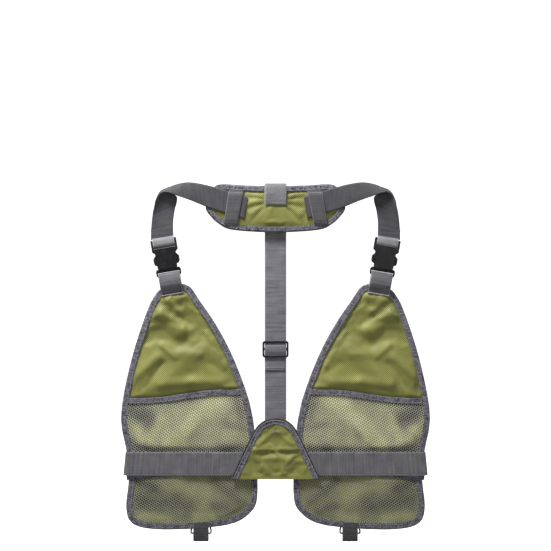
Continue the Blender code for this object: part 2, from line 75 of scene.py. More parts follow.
FORWARD = (0, 1, 0)
# Height of an even triangle, as a share of its side.
TRIANGLE = 0.866
# Undulations of webbing, per metre along it.
WEB_WAVES = 55
# Points of the CAD, or of a net, that are nearer than this are one point.
WELD = 0.01 * MM
NET_WELD = 0.02 * MM


# ---------------------------------------------------------------- reading the frame

def flat_loops(node):
    """Outlines of a flat CAD plate that stands in the XZ plane, the longest first."""
    form = bmesh.new()
    form.from_mesh(frame["nodes"][node].data)
    bmesh.ops.remove_doubles(form, verts=form.verts, dist=WELD)
    near = {face for face in form.faces if face.normal.y < -0.9}
    links = {}
    for edge in form.edges:
        if sum(face in near for face in edge.link_faces) == 1:
            a, b = edge.verts
            links.setdefault(a.index, []).append(b.index)
            links.setdefault(b.index, []).append(a.index)
    form.verts.ensure_lookup_table()
    places = [(v.co.x, v.co.z) for v in form.verts]
    form.free()
    loops = []
    while links:
        start = next(iter(links))
        walk, here, last = [start], start, None
        while True:
            ahead = [n for n in links[here] if n != last]
            last, here = here, ahead[0]
            if here == start:
                break
            walk.append(here)
        for index in walk:
            links.pop(index)
        loops.append(np.array([places[i] for i in walk]))
    return sorted(loops, key=lambda loop: travel_along(closed_line(loop))[-1], reverse=True)


def box_mm(node):
    """The low and the high corner of a CAD node's box, in millimetres."""
    return [np.array(corner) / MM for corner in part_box(node)]


def turned_left(loop):
    """The loop in anticlockwise order."""
    x, z = loop[:, 0], loop[:, 1]
    area = float((x * np.roll(z, -1) - np.roll(x, -1) * z).sum())
    return loop if area > 0 else loop[::-1]


def mm(rows):
    """Numbers given in millimetres, as an array in metres."""
    return np.array(rows, float) * MM


def unit(rows):
    """A vector, or each row of an array, at length 1."""
    return rows / np.linalg.norm(rows, axis=-1, keepdims=True)


def closed_line(loop):
    """A loop with its first point once more at its end."""
    return np.vstack([loop, loop[:1]])


def travel_along(line):
    """Distance from the start to each point."""
    steps = np.linalg.norm(np.diff(line, axis=0), axis=1)
    return np.concatenate([[0], np.cumsum(steps)])


def places_along(path, closed=False):
    """Texture places along a path, one more than it has points."""
    travel = travel_along(closed_line(path) if closed else path)
    return travel if closed else np.append(travel, travel[-1])


def resample(path, pitch, closed=False):
    """Even steps of about a pitch along a path."""
    line = closed_line(path) if closed else np.asarray(path, float)
    travel = travel_along(line)
    marks = np.linspace(0, travel[-1], max(2, int(round(travel[-1] / pitch))) + 1)
    if closed:
        marks = marks[:-1]
    return np.column_stack([np.interp(marks, travel, column) for column in line.T])


def soften_loop(loop, rounds):
    """A closed loop with its corners eased."""
    for _ in range(rounds):
        loop = (np.roll(loop, 1, axis=0) + 2 * loop + np.roll(loop, -1, axis=0)) / 4
    return loop


def curve_rows(rows, steps):
    """A Catmull-Rom curve through rows of numbers."""
    ends = np.vstack([2 * rows[0] - rows[1], rows, 2 * rows[-1] - rows[-2]])
    fine = []
    for a, b, c, d in zip(ends, ends[1:], ends[2:], ends[3:]):
        for t in np.linspace(0, 1, steps, endpoint=False):
            fine.append(0.5 * (2 * b + (c - a) * t + (2 * a - 5 * b + 4 * c - d) * t ** 2
                               + (3 * b - a - 3 * c + d) * t ** 3))
    return np.array(fine + [rows[-1]])


def upright_path(rows, steps, pitch, x=0.0):
    """Even steps along a smooth path at one x. The rows give y and z in millimetres."""
    fine = curve_rows(np.array(rows, float), steps) * MM
    return resample(np.column_stack([np.full(len(fine), x), fine]), pitch)


def at_level(plan, y):
    """Points of the XZ plane as points in space. y is one level, or one for each point."""
    return np.column_stack([plan[:, 0], np.broadcast_to(y, len(plan)), plan[:, 1]])


def headings(path, closed=False):
    """Unit directions along a path."""
    if closed:
        return unit(np.roll(path, -1, axis=0) - np.roll(path, 1, axis=0))
    return unit(np.gradient(path, axis=0))


def inward(path, closed=True):
    """Unit normals to the left of a path, which is inside an anticlockwise loop."""
    along = headings(path, closed)
    return np.column_stack([-along[:, 1], along[:, 0]])


def shrink(loop, distance):
    """The loop moved inwards."""
    return loop + inward(loop) * distance


def inside(points, loop):
    """Which points lie inside a loop."""
    x, z = points[:, 0], points[:, 1]
    hit = np.zeros(len(points), bool)
    for (ax, az), (bx, bz) in zip(loop, np.roll(loop, -1, axis=0)):
        crosses = (az > z) != (bz > z)
        with np.errstate(divide="ignore", invalid="ignore"):
            at = ax + (z - az) * (bx - ax) / (bz - az)
        hit ^= crosses & (x < at)
    return hit


def distance_to(points, loop, closed=True):
    """Distance from each point to a loop or a path."""
    best = np.full(len(points), 1e9)
    ends = np.roll(loop, -1, axis=0) if closed else loop[1:]
    for a, b in zip(loop, ends):
        d = b - a
        size = max(float(d @ d), 1e-18)
        t = np.clip((points - a) @ d / size, 0, 1)
        best = np.minimum(best, np.linalg.norm(points - a - t[:, None] * d, axis=1))
    return best


def ease(x):
    """A smooth step from 0 to 1."""
    x = np.clip(x, 0, 1)
    return x * x * (3 - 2 * x)


def soft_min(values, limit, soft):
    """The values, eased to stay below a limit."""
    return limit - soft * np.logaddexp(0, (limit - values) / soft)


def noise_at(*place):
    """Smooth noise at a place of three numbers, about -1 to 1."""
    return noise.noise(Vector(place))


def ripple(plan, scale, seed):
    """Smooth noise at each point of a plan, about -1 to 1."""
    return np.array([noise.noise(Vector((*(p * scale), 0.0)) + Vector((seed, 0, 7.3 * seed)))
                     for p in plan])


def folds(points, strokes):
    """Soft ridges and valleys: each stroke has two ends, a half width and a height, in millimetres."""
    rise = np.zeros(len(points))
    for ax, az, bx, bz, spread, height in strokes:
        gap = distance_to(points, mm(((ax, az), (bx, bz))), closed=False) / (spread * MM)
        rise += height * MM * np.exp(-gap ** 2)
    return rise


# ---------------------------------------------------------------- shapes

class Shape:
    """Points, faces and a texture place for each face corner, in metres."""

    def __init__(self, points, faces, places):
        self.points = np.asarray(points, float)
        self.faces = faces
        self.places = places

    @property
    def plan(self):
        return self.points[:, [0, 2]]

    def reshaped(self, points):
        return Shape(points, self.faces, self.places)

    def raised(self, lift):
        """The shape with its points moved towards -Y."""
        points = self.points.copy()
        points[:, 1] -= lift
        return self.reshaped(points)

    def turned_over(self):
        """The shape with each face's other side out."""
        return Shape(self.points, [face[::-1] for face in self.faces],
                     [corner[::-1] for corner in self.places])

    def mirrored(self):
        return self.turned_over().reshaped(self.points * (-1, 1, 1))


def join(shapes):
    points, faces, places, base = [], [], [], 0
    for shape in shapes:
        points.append(shape.points)
        faces += [[base + i for i in face] for face in shape.faces]
        places += shape.places
        base += len(shape.points)
    return Shape(np.vstack(points), faces, places)


def sweep(rings, u, v, closed_path=False):
    """A closed profile carried along a path.

    u and v are the texture places, one more than there are rings or points in a ring.
    """
    rings = np.asarray(rings)
    n, m = rings.shape[:2]
    faces, places = [], []
    for i in range(n if closed_path else n - 1):
        k = (i + 1) % n
        for j in range(m):
            w = (j + 1) % m
            faces.append([i * m + j, k * m + j, k * m + w, i * m + w])
            places.append([(u[i], v[j]), (u[i + 1], v[j]), (u[i + 1], v[j + 1]), (u[i], v[j + 1])])
    if not closed_path:
        for i in (0, n - 1):
            cap = [i * m + j for j in range(m)]
            faces.append(cap if i else cap[::-1])
            corners = [(u[i], v[j]) for j in range(m)]
            places.append(corners if i else corners[::-1])
    return Shape(rings.reshape(-1, 3), faces, places)


def web_profile(width, thick):
    """Half-round edged section of webbing, as (across, through) points."""
    half, r = width / 2 - thick / 2, thick / 2
    side = [(a, r) for a in np.linspace(-half, half, 9)]
    side += [(half + r * 0.8, r * 0.55), (half + r, 0), (half + r * 0.8, -r * 0.55)]
    return np.vstack([side, -np.array(side)])


def ribbon(centres, across, width=WEBBING, thick=WEB_THICK, *, wave, seed):
    """Flat webbing along a path. across is a direction for each point; its surface undulates slightly."""
    centres = np.asarray(centres, float)
    along = headings(centres)
    across = np.broadcast_to(np.asarray(across, float), centres.shape)
    across = unit(across - (across * along).sum(1)[:, None] * along)
    normal = np.cross(across, along)
    profile = web_profile(width, thick)
    travel = places_along(centres)
    rings = []
    for i, centre in enumerate(centres):
        lift = wave * np.array([noise_at(travel[i] * WEB_WAVES, a * 40, seed) for a in profile[:, 0]])
        rings.append(centre + profile[:, :1] * across[i] + (profile[:, 1] + lift)[:, None] * normal[i])
    return sweep(rings, travel, np.append(profile[:, 0], profile[0, 0]))


def sheet(loop, pitch, height):
    """A fabric sheet inside a loop, in even triangles. height is one Y, or gives the Y of each point."""
    edge = resample(loop, pitch, closed=True)
    low, high = edge.min(0), edge.max(0)
    rows = np.arange(low[1], high[1], pitch * TRIANGLE)
    grid = np.array([(x + (i % 2) * pitch / 2, z) for i, z in enumerate(rows)
                     for x in np.arange(low[0], high[0], pitch)])
    grid = grid[inside(grid, edge)]
    # Points that nearly meet the edge would make slivers.
    grid = grid[distance_to(grid, edge) > 0.55 * pitch]
    flat = [Vector(p) for p in np.vstack([edge, grid])]
    ring = [(i, (i + 1) % len(edge)) for i in range(len(edge))]
    spots, _, faces, _, _, _ = delaunay_2d_cdt(flat, ring, [], 1, 1e-7)
    spots = np.array([tuple(p) for p in spots])
    points = at_level(spots, height(spots) if callable(height) else height)
    return Shape(points, [list(face) for face in faces], [[tuple(spots[i]) for i in face] for face in faces])


def rim_edges(faces):
    """The edges that only one face has."""
    edges = dict.fromkeys((a, b) for face in faces for a, b in zip(face, face[1:] + face[:1]))
    return [(a, b) for a, b in edges if (b, a) not in edges]


def slab(near, far):
    """A sheet and its copy at other points, joined round their rims."""
    n = len(near.points)
    at = {}
    for face, corner in zip(near.faces, near.places):
        at.update(zip(face, corner))
    rim = rim_edges(near.faces)
    over = near.turned_over()
    faces = near.faces + [[n + i for i in face] for face in over.faces]
    faces += [[b, a, n + a, n + b] for a, b in rim]
    places = near.places + over.places + [[at[b], at[a], at[a], at[b]] for a, b in rim]
    return Shape(np.vstack([near.points, far]), faces, places)


def thicken(shape, thick):
    """The sheet as a closed slab, its far side towards +Y."""
    return slab(shape, shape.points + (0, thick, 0))


def bound_edge(loop, near, far, width, seed, closed=True, pucker=0.95 * MM):
    """Tape folded over an edge: down its near face, round the edge and down its far face."""
    edge = resample(loop, 1.6 * MM, closed)
    travel = places_along(edge, closed)
    half, middle, thick = (far - near) / 2, (far + near) / 2, 0.9 * MM
    flank = [width, width * 0.62, width * 0.3]
    outside = [(depth, near) for depth in flank]
    outside += [(half * (1 - math.sin(a)), middle - half * math.cos(a))
                for a in np.linspace(0, math.pi, 8)]
    outside += [(depth, far) for depth in flank[::-1]]
    inner_half = half - thick
    lip = width - 0.2 * MM
    within = [(lip, far - thick), (flank[2], far - thick)]
    within += [(half - inner_half * math.sin(a), middle + inner_half * math.cos(a))
               for a in np.linspace(0, math.pi, 5)]
    within += [(flank[2], near + thick), (lip, near + thick)]
    profile = np.array(outside + within)
    count = len(outside)
    rings = []
    for s, spot, normal in zip(travel, edge, inward(edge, closed)):
        wave = noise_at(s * 150, seed, 0) + 0.5 * math.sin(s * 2 * math.pi / (6.3 * MM))
        slow = noise_at(s * 30, seed, 4)
        depth, level = profile[:, 0].copy(), profile[:, 1].copy()
        out = 0.5 * (1 - np.cos(np.clip(depth / width, 0, 1) * 2 * math.pi))
        level[:count] += np.where(profile[:count, 1] < middle, -1, 1) * out[:count] * pucker * wave
        depth += (0.5 * slow + 0.25 * wave) * pucker * (depth / width)
        rings.append(np.column_stack([spot[0] + normal[0] * depth, level, spot[1] + normal[1] * depth]))
    return sweep(rings, travel, np.append(profile[:, 0], profile[0, 0]), closed_path=closed)


def circle(sides):
    return np.linspace(0, 2 * math.pi, sides, endpoint=False)


def stitches(path, outward=BACKWARD, pitch=3.6, size=2.3, thick=0.42):
    """Short raised threads along a path in space, sized in millimetres. The surface faces outward."""
    spots = resample(path, pitch * MM)
    outward = np.asarray(outward, float)
    size, thick = size * MM, thick * MM
    shapes = []
    for here, ahead in zip(spots[:-1], spots[1:]):
        along = unit(ahead - here)
        side = unit(np.cross(along, outward))
        lift = np.cross(side, along)
        middle = (here + ahead) / 2
        rings = []
        for share, girth in ((-0.5, 0.45), (-0.25, 1.0), (0.25, 1.0), (0.5, 0.45)):
            centre = middle + along * size * share + outward * thick * (0.35 * girth - 0.1)
            rings.append([centre + (side * math.cos(a) * 1.25 + lift * math.sin(a)) * thick * girth
                          for a in circle(6)])
        shapes.append(sweep(rings, [0, 1, 2, 3, 4], [0] * 7))
    return join(shapes)


def sewn(lines, outward=BACKWARD, pitch=2.9, size=2.1):
    """Rows of close stitches along lines, all in millimetres."""
    return join([stitches(mm(line), outward, pitch, size) for line in lines])


def edge_seams(loop, inset, back, front):
    """Stitches on both faces of a bound edge."""
    seam = closed_line(shrink(loop, inset))
    return join([stitches(at_level(seam, level), way) for level, way in ((back, BACKWARD), (front, FORWARD))])


def tube(path, radius, sides=10, closed=False):
    """A round cord or wire along a path in space."""
    spare = np.array(FORWARD, float)
    rings = []
    for spot, ahead in zip(path, headings(path, closed)):
        side = unit(np.cross(ahead, spare))
        spare = np.cross(side, ahead)
        rings.append([spot + radius * (side * math.cos(a) + spare * math.sin(a)) for a in circle(sides)])
    girth = np.linspace(0, 2 * math.pi * radius, sides + 1)
    return sweep(rings, places_along(path, closed), girth, closed_path=closed)


def net(loop, cell, height, turn, stretch):
    """An open mesh: a net of six-sided cells inside a loop, drawn out one way, one thread thick."""
    low, high = loop.min(0) - cell, loop.max(0) + cell
    c, s = math.cos(turn), math.sin(turn)
    middle = (low + high) / 2
    reach = float(np.linalg.norm(high - low)) / 2
    columns = int(reach / cell) + 1
    pitch = cell * TRIANGLE
    centres = np.array([((i + (j % 2) / 2) * cell, j * pitch)
                        for j in range(-columns - 8, columns + 9) for i in range(-columns, columns + 1)])
    drawn = np.array(((c, s), (-s, c))) * ((1.0,), (stretch,))
    centres = centres @ drawn + middle
    centres = centres[inside(centres, loop)]
    form = bmesh.new()
    known = {}

    def corner(spot):
        key = tuple(round(value / NET_WELD) for value in spot)
        for near in [(key[0] + a, key[1] + b) for a in (0, 1, -1) for b in (0, 1, -1)]:
            if near in known:
                return known[near]
        known[key] = form.verts.new((spot[0], 0.0, spot[1]))
        return known[key]

    radius = cell / math.sqrt(3)
    turns = [math.radians(30 + 60 * k) for k in range(6)]
    cell_corners = radius * np.array([(math.cos(a), math.sin(a)) for a in turns]) @ drawn
    for centre in centres:
        form.faces.new([corner(centre + step) for step in cell_corners])
    spots = np.array([(v.co.x, v.co.z) for v in form.verts])
    for vert, y in zip(form.verts, height(spots)):
        vert.co.y = y
    form.normal_update()
    return form


def thread_net(form, width):
    """The net's edges as threads of a width."""
    bmesh.ops.wireframe(form, faces=form.faces, thickness=width, offset=0.0, use_replace=True,
                        use_boundary=True, use_even_offset=True)
    form.verts.index_update()
    points = np.array([v.co[:] for v in form.verts])
    faces = [[v.index for v in face.verts] for face in form.faces]
    places = [[(points[i][0], points[i][2]) for i in face] for face in faces]
    form.free()
    return Shape(points, faces, places)


# ---------------------------------------------------------------- objects

def put_in_scene(name, data):
    obj = bpy.data.objects.new(name, data)
    bpy.context.scene.collection.objects.link(obj)
    return obj


def build(name, shape, material, smooth):
    mesh = bpy.data.meshes.new(name)
    mesh.from_pydata(shape.points.tolist(), [], shape.faces)
    layer = mesh.uv_layers.new(name="cloth")
    flat = np.array([place for corner in shape.places for place in corner], np.float32)
    layer.data.foreach_set("uv", flat.ravel())
    form = bmesh.new()
    form.from_mesh(mesh)
    bmesh.ops.recalc_face_normals(form, faces=form.faces)
    form.to_mesh(mesh)
    form.free()
    mesh.shade_smooth()
    mesh.set_sharp_from_angle(angle=math.radians(smooth))
    mesh.materials.append(material)
    return put_in_scene(name, mesh)


def place(name, shape, material, slot, body=None, stands_for=(), blend=(), squash=(), smooth=60):
    """A finished piece that rides on a body, or, when blend is given, stays where it is with its transform
    baked. With squash it gets a mesh of its own.
    """
    obj = build(name, shape, material, smooth)
    if blend:
        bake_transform(obj)
    else:
        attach(obj, body)
    if squash:
        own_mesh(obj)
    if stands_for:
        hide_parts(*stands_for)
    return obj


def pair(name, shape, material, slot, body=None, stands_for=(), blend=(), squash=(), smooth=60):
    """The left piece and its mirror image. {} in a name stands for the side."""
    made = []
    for word, flip in (("left", 1), ("right", -1)):
        def own(value):
            """A name or a place, for this side."""
            if isinstance(value, str):
                return value.format(word)
            return tuple(np.array(value) * (flip, 1, 1)) if isinstance(value, tuple) else value

        side = shape if flip > 0 else shape.mirrored()
        names, bend, press = ([own(item) for item in items] for items in (stands_for, blend, squash))
        made.append(place(f"{word}_{name}", side, material, slot, own(body), names, bend, press, smooth))
    return made


# ---------------------------------------------------------------- materials

class Finish:
    """A procedural material, with short calls for the nodes that it needs."""

    def __init__(self, name, roughness, metallic=0.0, sheen=0.0, specular=0.4):
        self.material = bpy.data.materials.new(name)
        self.material.use_nodes = True
        self.nodes = self.material.node_tree.nodes
        self.links = self.material.node_tree.links
        self.shader = self.nodes["Principled BSDF"]
        for socket, value in (("Roughness", roughness), ("Metallic", metallic), ("Sheen Weight", sheen),
                              ("Sheen Roughness", 0.45), ("Specular IOR Level", specular)):
            self.shader.inputs[socket].default_value = value
        self.cloth = self.node("UVMap", uv_map="cloth").outputs[0]
        split = self.node("SeparateXYZ", {0: self.cloth})
        self.u, self.v = split.outputs[0], split.outputs[1]
        self.solid = self.node("TexCoord").outputs["Object"]

    def put(self, socket, value):
        """Sets an input to a number, a colour or a vector, or links it to another node's output."""
        if isinstance(value, (int, float)):
            socket.default_value = value
        elif isinstance(value, tuple):
            socket.default_value = (*value, 1.0)[:len(socket.default_value)]
        else:
            self.links.new(value, socket)

    def node(self, kind, inputs=None, **settings):
        made = self.nodes.new("ShaderNode" + kind)
        for name, value in settings.items():
            setattr(made, name, value)
        for socket, value in (inputs or {}).items():
            self.put(made.inputs[socket], value)
        return made

    def math(self, operation, *values):
        return self.node("Math", dict(enumerate(values)), operation=operation).outputs[0]

    def times(self, first, second):
        return self.math("MULTIPLY", first, second)

    def scaled(self, value, factor, plus):
        return self.math("MULTIPLY_ADD", value, factor, plus)

    def wave(self, place, pitch, shift=0.0):
        """A sine from 0 to 1 with a pitch in metres."""
        turn = self.scaled(place, 2 * math.pi / pitch, shift)
        return self.scaled(self.math("SINE", turn), 0.5, 0.5)

    def grain(self, scale, detail, place=None, stretch=None):
        """Noise from 0 to 1. scale is in features per metre."""
        place = place or self.solid
        if stretch:
            place = self.node("Mapping", {0: place, "Scale": stretch}).outputs[0]
        return self.node("TexNoise", {"Scale": scale, "Detail": detail, "Vector": place}).outputs["Fac"]

    def hollow(self):
        """Painted shade on the mesh and its backing here, 0 to 1. It is 0 on pieces without that attribute.
        """
        return self.node("Attribute", attribute_name="hollow").outputs["Fac"]

    def mix(self, share, first, second):
        return self.node("Mix", {"Factor": share, 6: first, 7: second}, data_type="RGBA",
                         clamp_factor=True).outputs[2]

    def step(self, value, low, high):
        """0 below low, 1 above high and a smooth rise between."""
        return self.node("MapRange", {"Value": value, "From Min": low, "From Max": high},
                         interpolation_type="SMOOTHSTEP").outputs[0]

    def colour(self, value):
        self.put(self.shader.inputs["Base Color"], value)

    def rough(self, value):
        self.put(self.shader.inputs["Roughness"], value)

    def bump(self, height, depth):
        """Relief from a height of 0 to 1. depth is in metres."""
        relief = self.node("Bump", {"Distance": depth, "Strength": 1.0, "Height": height})
        self.put(self.shader.inputs["Normal"], relief.outputs[0])


def diamond_cloth(name, bright, deep, sheen=0.25, dot=0.5):
    """Woven polyester with small raised diamonds."""
    f = Finish(name, 0.5, sheen=sheen, specular=0.5)
    one = f.math("ADD", f.u, f.v)
    two = f.math("SUBTRACT", f.u, f.v)
    dots = f.times(f.wave(one, 3.4 * MM), f.wave(two, 3.4 * MM))
    raised = f.step(dots, 0.12, 0.75)
    thread = f.times(f.wave(f.u, 0.55 * MM), f.wave(f.v, 0.55 * MM))
    cloud = f.grain(16.0, 4.0)
    speck = f.grain(900.0, 2.0)
    tone = f.scaled(raised, dot, f.times(cloud, 0.45))
    tone = f.scaled(speck, 0.22, tone)
    f.colour(f.mix(f.step(tone, 0.1, 0.95), deep, bright))
    f.rough(f.scaled(raised, -0.16, f.scaled(speck, 0.15, 0.52)))
    f.bump(f.scaled(raised, 0.8, f.times(thread, 0.2)), 0.22 * MM)
    return f.material


def ribbed_web(name, base, light, half, rib=1.9 * MM, selvage=1.5 * MM, painted_edge_highlight=False):
    """Webbing with ribs across it, fine ends along it and a pale selvage at both edges, or instead a painted
    highlight along one edge.
    """
    f = Finish(name, 0.62, sheen=0.3, specular=0.35)
    lane = f.wave(f.v, 2.6 * MM)
    shift = f.times(f.step(lane, 0.45, 0.55), math.pi)
    ribs = f.wave(f.u, rib, shift)
    fibre = f.grain(1500.0, 2.0, f.cloth, (1.0, 0.35, 1.0))
    mottle = f.grain(55.0, 3.0)
    streak = f.grain(260.0, 2.0, f.cloth, (1.0, 0.06, 1.0))
    # With one edge only, its pale band is a painted highlight.
    edge = f.step(f.v if painted_edge_highlight else f.math("ABSOLUTE", f.v), half - selvage, half - selvage * 0.6)
    tone = f.scaled(ribs, 0.4, f.times(fibre, 0.35))
    tone = f.scaled(mottle, 0.35, f.scaled(streak, 0.6, tone))
    body = f.mix(f.step(tone, 0.4, 1.3), base, light)
    pale = tuple(min(1.0, c * 1.9) for c in light)
    f.colour(f.mix(f.times(edge, 0.8 if painted_edge_highlight else 0.45), body, pale))
    f.rough(f.scaled(fibre, 0.2, 0.5))
    f.bump(f.scaled(ribs, 0.7, f.times(lane, 0.3)), 0.28 * MM)
    return f.material


def tape_cloth(name, base, light):
    """Folded binding tape: fine ribs across it, speckled by wear."""
    f = Finish(name, 0.75, sheen=0.3, specular=0.3)
    ribs = f.wave(f.u, 1.1 * MM)
    speck = f.grain(420.0, 3.0)
    mottle = f.grain(120.0, 3.0)
    tone = f.scaled(ribs, 0.12, f.times(speck, 0.95))
    tone = f.scaled(mottle, 0.6, tone)
    f.colour(f.mix(f.step(tone, 0.62, 1.06), base, light))
    f.rough(f.scaled(speck, 0.2, 0.65))
    f.bump(f.scaled(ribs, 0.4, f.times(speck, 0.6)), 0.25 * MM)
    return f.material


def thread_finish(name, base, light, twist=0.9 * MM):
    """Spun thread: a fine twist, a soft, worn colour and, where the piece carries it, painted shade."""
    f = Finish(name, 0.7, sheen=0.35, specular=0.3)
    speck = f.grain(1300.0, 2.0)
    mottle = f.grain(45.0, 3.0)
    turns = f.wave(f.math("ADD", f.u, f.v), twist)
    tone = f.scaled(speck, 0.5, f.times(mottle, 0.5))
    worn = f.mix(f.step(tone, 0.25, 0.75), base, light)
    # A darker, bluer copy of the base colour: painted shade, mixed in by the piece's shade attribute.
    shaded = tuple(c * s for c, s in zip(base, (0.30, 0.31, 0.40)))
    f.colour(f.mix(f.times(f.hollow(), 0.62), worn, shaded))
    f.bump(f.scaled(turns, 0.5, f.times(speck, 0.5)), 0.12 * MM)
    return f.material


def backing_cloth(name, bright, deep):
    """The cloth behind the mesh: its own green, turned towards a painted shade colour where the piece's shade
    attribute, with a random cloud, is high.
    """
    f = Finish(name, 0.6, sheen=0.1, specular=0.3)
    cloud = f.grain(40.0, 3.0)
    weave = f.times(f.wave(f.u, 1.1 * MM), f.wave(f.v, 1.1 * MM))
    # Painted shade: the attribute, with a random cloud, darkens the cloth.
    share = f.scaled(cloud, 0.5, f.hollow())
    f.colour(f.mix(f.step(share, 0.22, 1.15), bright, deep))
    f.bump(weave, 0.1 * MM)
    return f.material


def moulded_finish(name, base, light):
    """Satin moulded plastic with a fine spark grain and scuffed high spots."""
    f = Finish(name, 0.38, specular=0.35)
    grain = f.grain(2400.0, 2.0)
    scuff = f.grain(150.0, 5.0)
    worn = f.step(scuff, 0.56, 0.74)
    f.colour(f.mix(worn, base, light))
    f.rough(f.scaled(worn, 0.2, f.scaled(grain, 0.12, 0.3)))
    f.bump(grain, 0.05 * MM)
    return f.material


def plated_finish(name, base, light):
    """Dark plated metal, rubbed brighter in places."""
    f = Finish(name, 0.3, metallic=1.0)
    rubbed = f.grain(220.0, 4.0)
    fine = f.grain(1800.0, 2.0)
    f.colour(f.mix(f.step(rubbed, 0.4, 0.7), base, light))
    f.rough(f.scaled(rubbed, 0.25, 0.18))
    f.bump(fine, 0.03 * MM)
    return f.material


GREEN = diamond_cloth("green_diamond_polyester", (0.300, 0.305, 0.062), (0.084, 0.085, 0.011))
LINING = diamond_cloth("lining_polyester", (0.085, 0.09, 0.045), (0.03, 0.032, 0.018), 0.1, 0.3)
# The backing sheet's green is the panel cloth's own; its near-black second colour is painted shade.
SHADED_POCKET_BACK = backing_cloth("pocket_backing_painted_shade", (0.225, 0.233, 0.062), (0.014, 0.014, 0.013))
STRAP = ribbed_web("grey_webbing", (0.040, 0.039, 0.045), (0.22, 0.215, 0.23), WEBBING / 2)
# The shoulder straps' webbing: a darker copy of the grey webbing, painted shade.
SHADED_SHOULDER_WEB = ribbed_web("grey_shoulder_webbing_painted_shade", (0.012, 0.0115, 0.0145), (0.080, 0.078, 0.087), WEBBING / 2)
# The belt's pale lower edge is a painted highlight.
BELT = ribbed_web("grey_belt_webbing", (0.032, 0.031, 0.036), (0.180, 0.175, 0.190), 20 * MM,
                  rib=3.2 * MM, painted_edge_highlight=True)
NARROW = ribbed_web("grey_narrow_webbing", (0.021, 0.020, 0.024), (0.092, 0.090, 0.097), 12.5 * MM)
TAB = ribbed_web("grey_tab_webbing", (0.032, 0.031, 0.036), (0.176, 0.172, 0.184), 19 * MM)
# The shoulder strap's tail: a lighter copy of the same webbing, painted light.
LIT_TAIL_WEB = ribbed_web("tail_webbing_painted_light", (0.055, 0.053, 0.059), (0.28, 0.272, 0.288), 19 * MM)
BINDING_CLOTH = tape_cloth("grey_binding_tape", (0.020, 0.018, 0.027), (0.185, 0.177, 0.212))
MESH_THREAD = thread_finish("mesh_thread", (0.52, 0.52, 0.37), (0.88, 0.87, 0.66))
# The lower net's thread: a darker copy of the upper thread's colours, painted shade for its weaker light.
SHADED_LOWER_THREAD = thread_finish("lower_mesh_thread_painted_shade", (0.29, 0.29, 0.21), (0.53, 0.53, 0.39))
STITCH = thread_finish("grey_stitching", (0.12, 0.118, 0.13), (0.32, 0.31, 0.33))
DARK_STITCH = thread_finish("dark_stitching", (0.03, 0.03, 0.033), (0.09, 0.09, 0.095))
PIPING = thread_finish("pale_piping", (0.15, 0.145, 0.155), (0.36, 0.35, 0.36), 1.6 * MM)
ZIP_TAPE = ribbed_web("zip_tape", (0.02, 0.02, 0.022), (0.06, 0.06, 0.065), 7 * MM, rib=1.0 * MM,
                      selvage=0.5 * MM)
PLASTIC = moulded_finish("black_satin_plastic", (0.005, 0.005, 0.006), (0.017, 0.017, 0.020))
METAL = plated_finish("dark_plated_metal", (0.012, 0.012, 0.013), (0.06, 0.06, 0.065))
HEM_WEB = ribbed_web("dark_hem_webbing", (0.014, 0.014, 0.016), (0.06, 0.06, 0.064), 13.5 * MM)
# A near-black tape colour for the patch's outer rim cord: painted shade where the binding rolls over.
SHADE_RIM_CLOTH = tape_cloth("rim_tape_painted_shade", (0.008, 0.007, 0.010), (0.055, 0.05, 0.066))


# ---------------------------------------------------------------- cloth

def drape(shape, pinned, slack, limit, frames=14, pressure=0.0):
    """Cloth simulation of a shape whose pinned points stay put. Other points move a limited distance."""
    mesh = bpy.data.meshes.new("drape")
    mesh.from_pydata(shape.points.tolist(), [], shape.faces)
    obj = put_in_scene("drape", mesh)
    scene = bpy.context.scene
    group = obj.vertex_groups.new(name="pinned")
    group.add([int(i) for i in np.flatnonzero(pinned)], 1.0, "REPLACE")
    cloth = obj.modifiers.new("Cloth", "CLOTH")
    settings = cloth.settings
    settings.quality = 6
    settings.mass = 0.15
    settings.tension_stiffness = settings.compression_stiffness = 20
    settings.bending_stiffness = 0.35
    settings.vertex_group_mass = "pinned"
    settings.shrink_min = settings.shrink_max = -slack
    settings.effector_weights.gravity = 0.0
    if pressure:
        settings.use_pressure = True
        settings.uniform_pressure_force = pressure
    cloth.collision_settings.use_collision = False
    cloth.point_cache.frame_start = 1
    cloth.point_cache.frame_end = frames
    for number in range(1, frames + 1):
        scene.frame_set(number)
    graph = bpy.context.evaluated_depsgraph_get()
    settled = obj.evaluated_get(graph).to_mesh()
    moved = np.array([v.co[:] for v in settled.vertices]) - shape.points
    obj.evaluated_get(graph).to_mesh_clear()
    scene.frame_set(1)
    bpy.data.objects.remove(obj)
    size = np.linalg.norm(moved, axis=1)
    moved *= (limit * np.tanh(size / limit) / np.maximum(size, 1e-9))[:, None]
    return shape.reshaped(shape.points + moved)


def fabric(loop, pitch, height, seed, strokes, slack, amount, limit, thick=0.8 * MM, tuck=9 * MM,
           covered=0.0, reach=6 * MM, floor=None, taut=None):
    """A woven sheet held round its edge, slack in the middle, with folds.

    Its outermost part, of a width covered, stays flat under the binding. No point goes beyond the floor, a Y.
    taut gives each point's share of the movement that it loses.
    """
    flat = sheet(loop, pitch, height)
    plan = flat.plan
    gap = distance_to(plan, loop)
    free = ease((gap - 1 * MM) / tuck)
    # Small uneven bulges, to start the drape from.
    bulge = ripple(plan, 45.0, seed) + 0.6 * ripple(plan, 110.0, seed + 3)
    settled = drape(flat.raised(-amount * bulge * free), gap < pitch * 0.7, slack=slack, limit=limit)
    loose = ease((gap - covered) / reach)
    if taut is not None:
        loose = loose * (1 - taut(plan))
    settled = settled.reshaped(flat.points + (settled.points - flat.points) * loose[:, None])
    draped = settled.raised(folds(settled.plan, strokes) * loose)
    if floor is not None:
        draped.points[:, 1] = soft_min(draped.points[:, 1], floor, 0.4 * MM)
    return thicken(draped, thick)


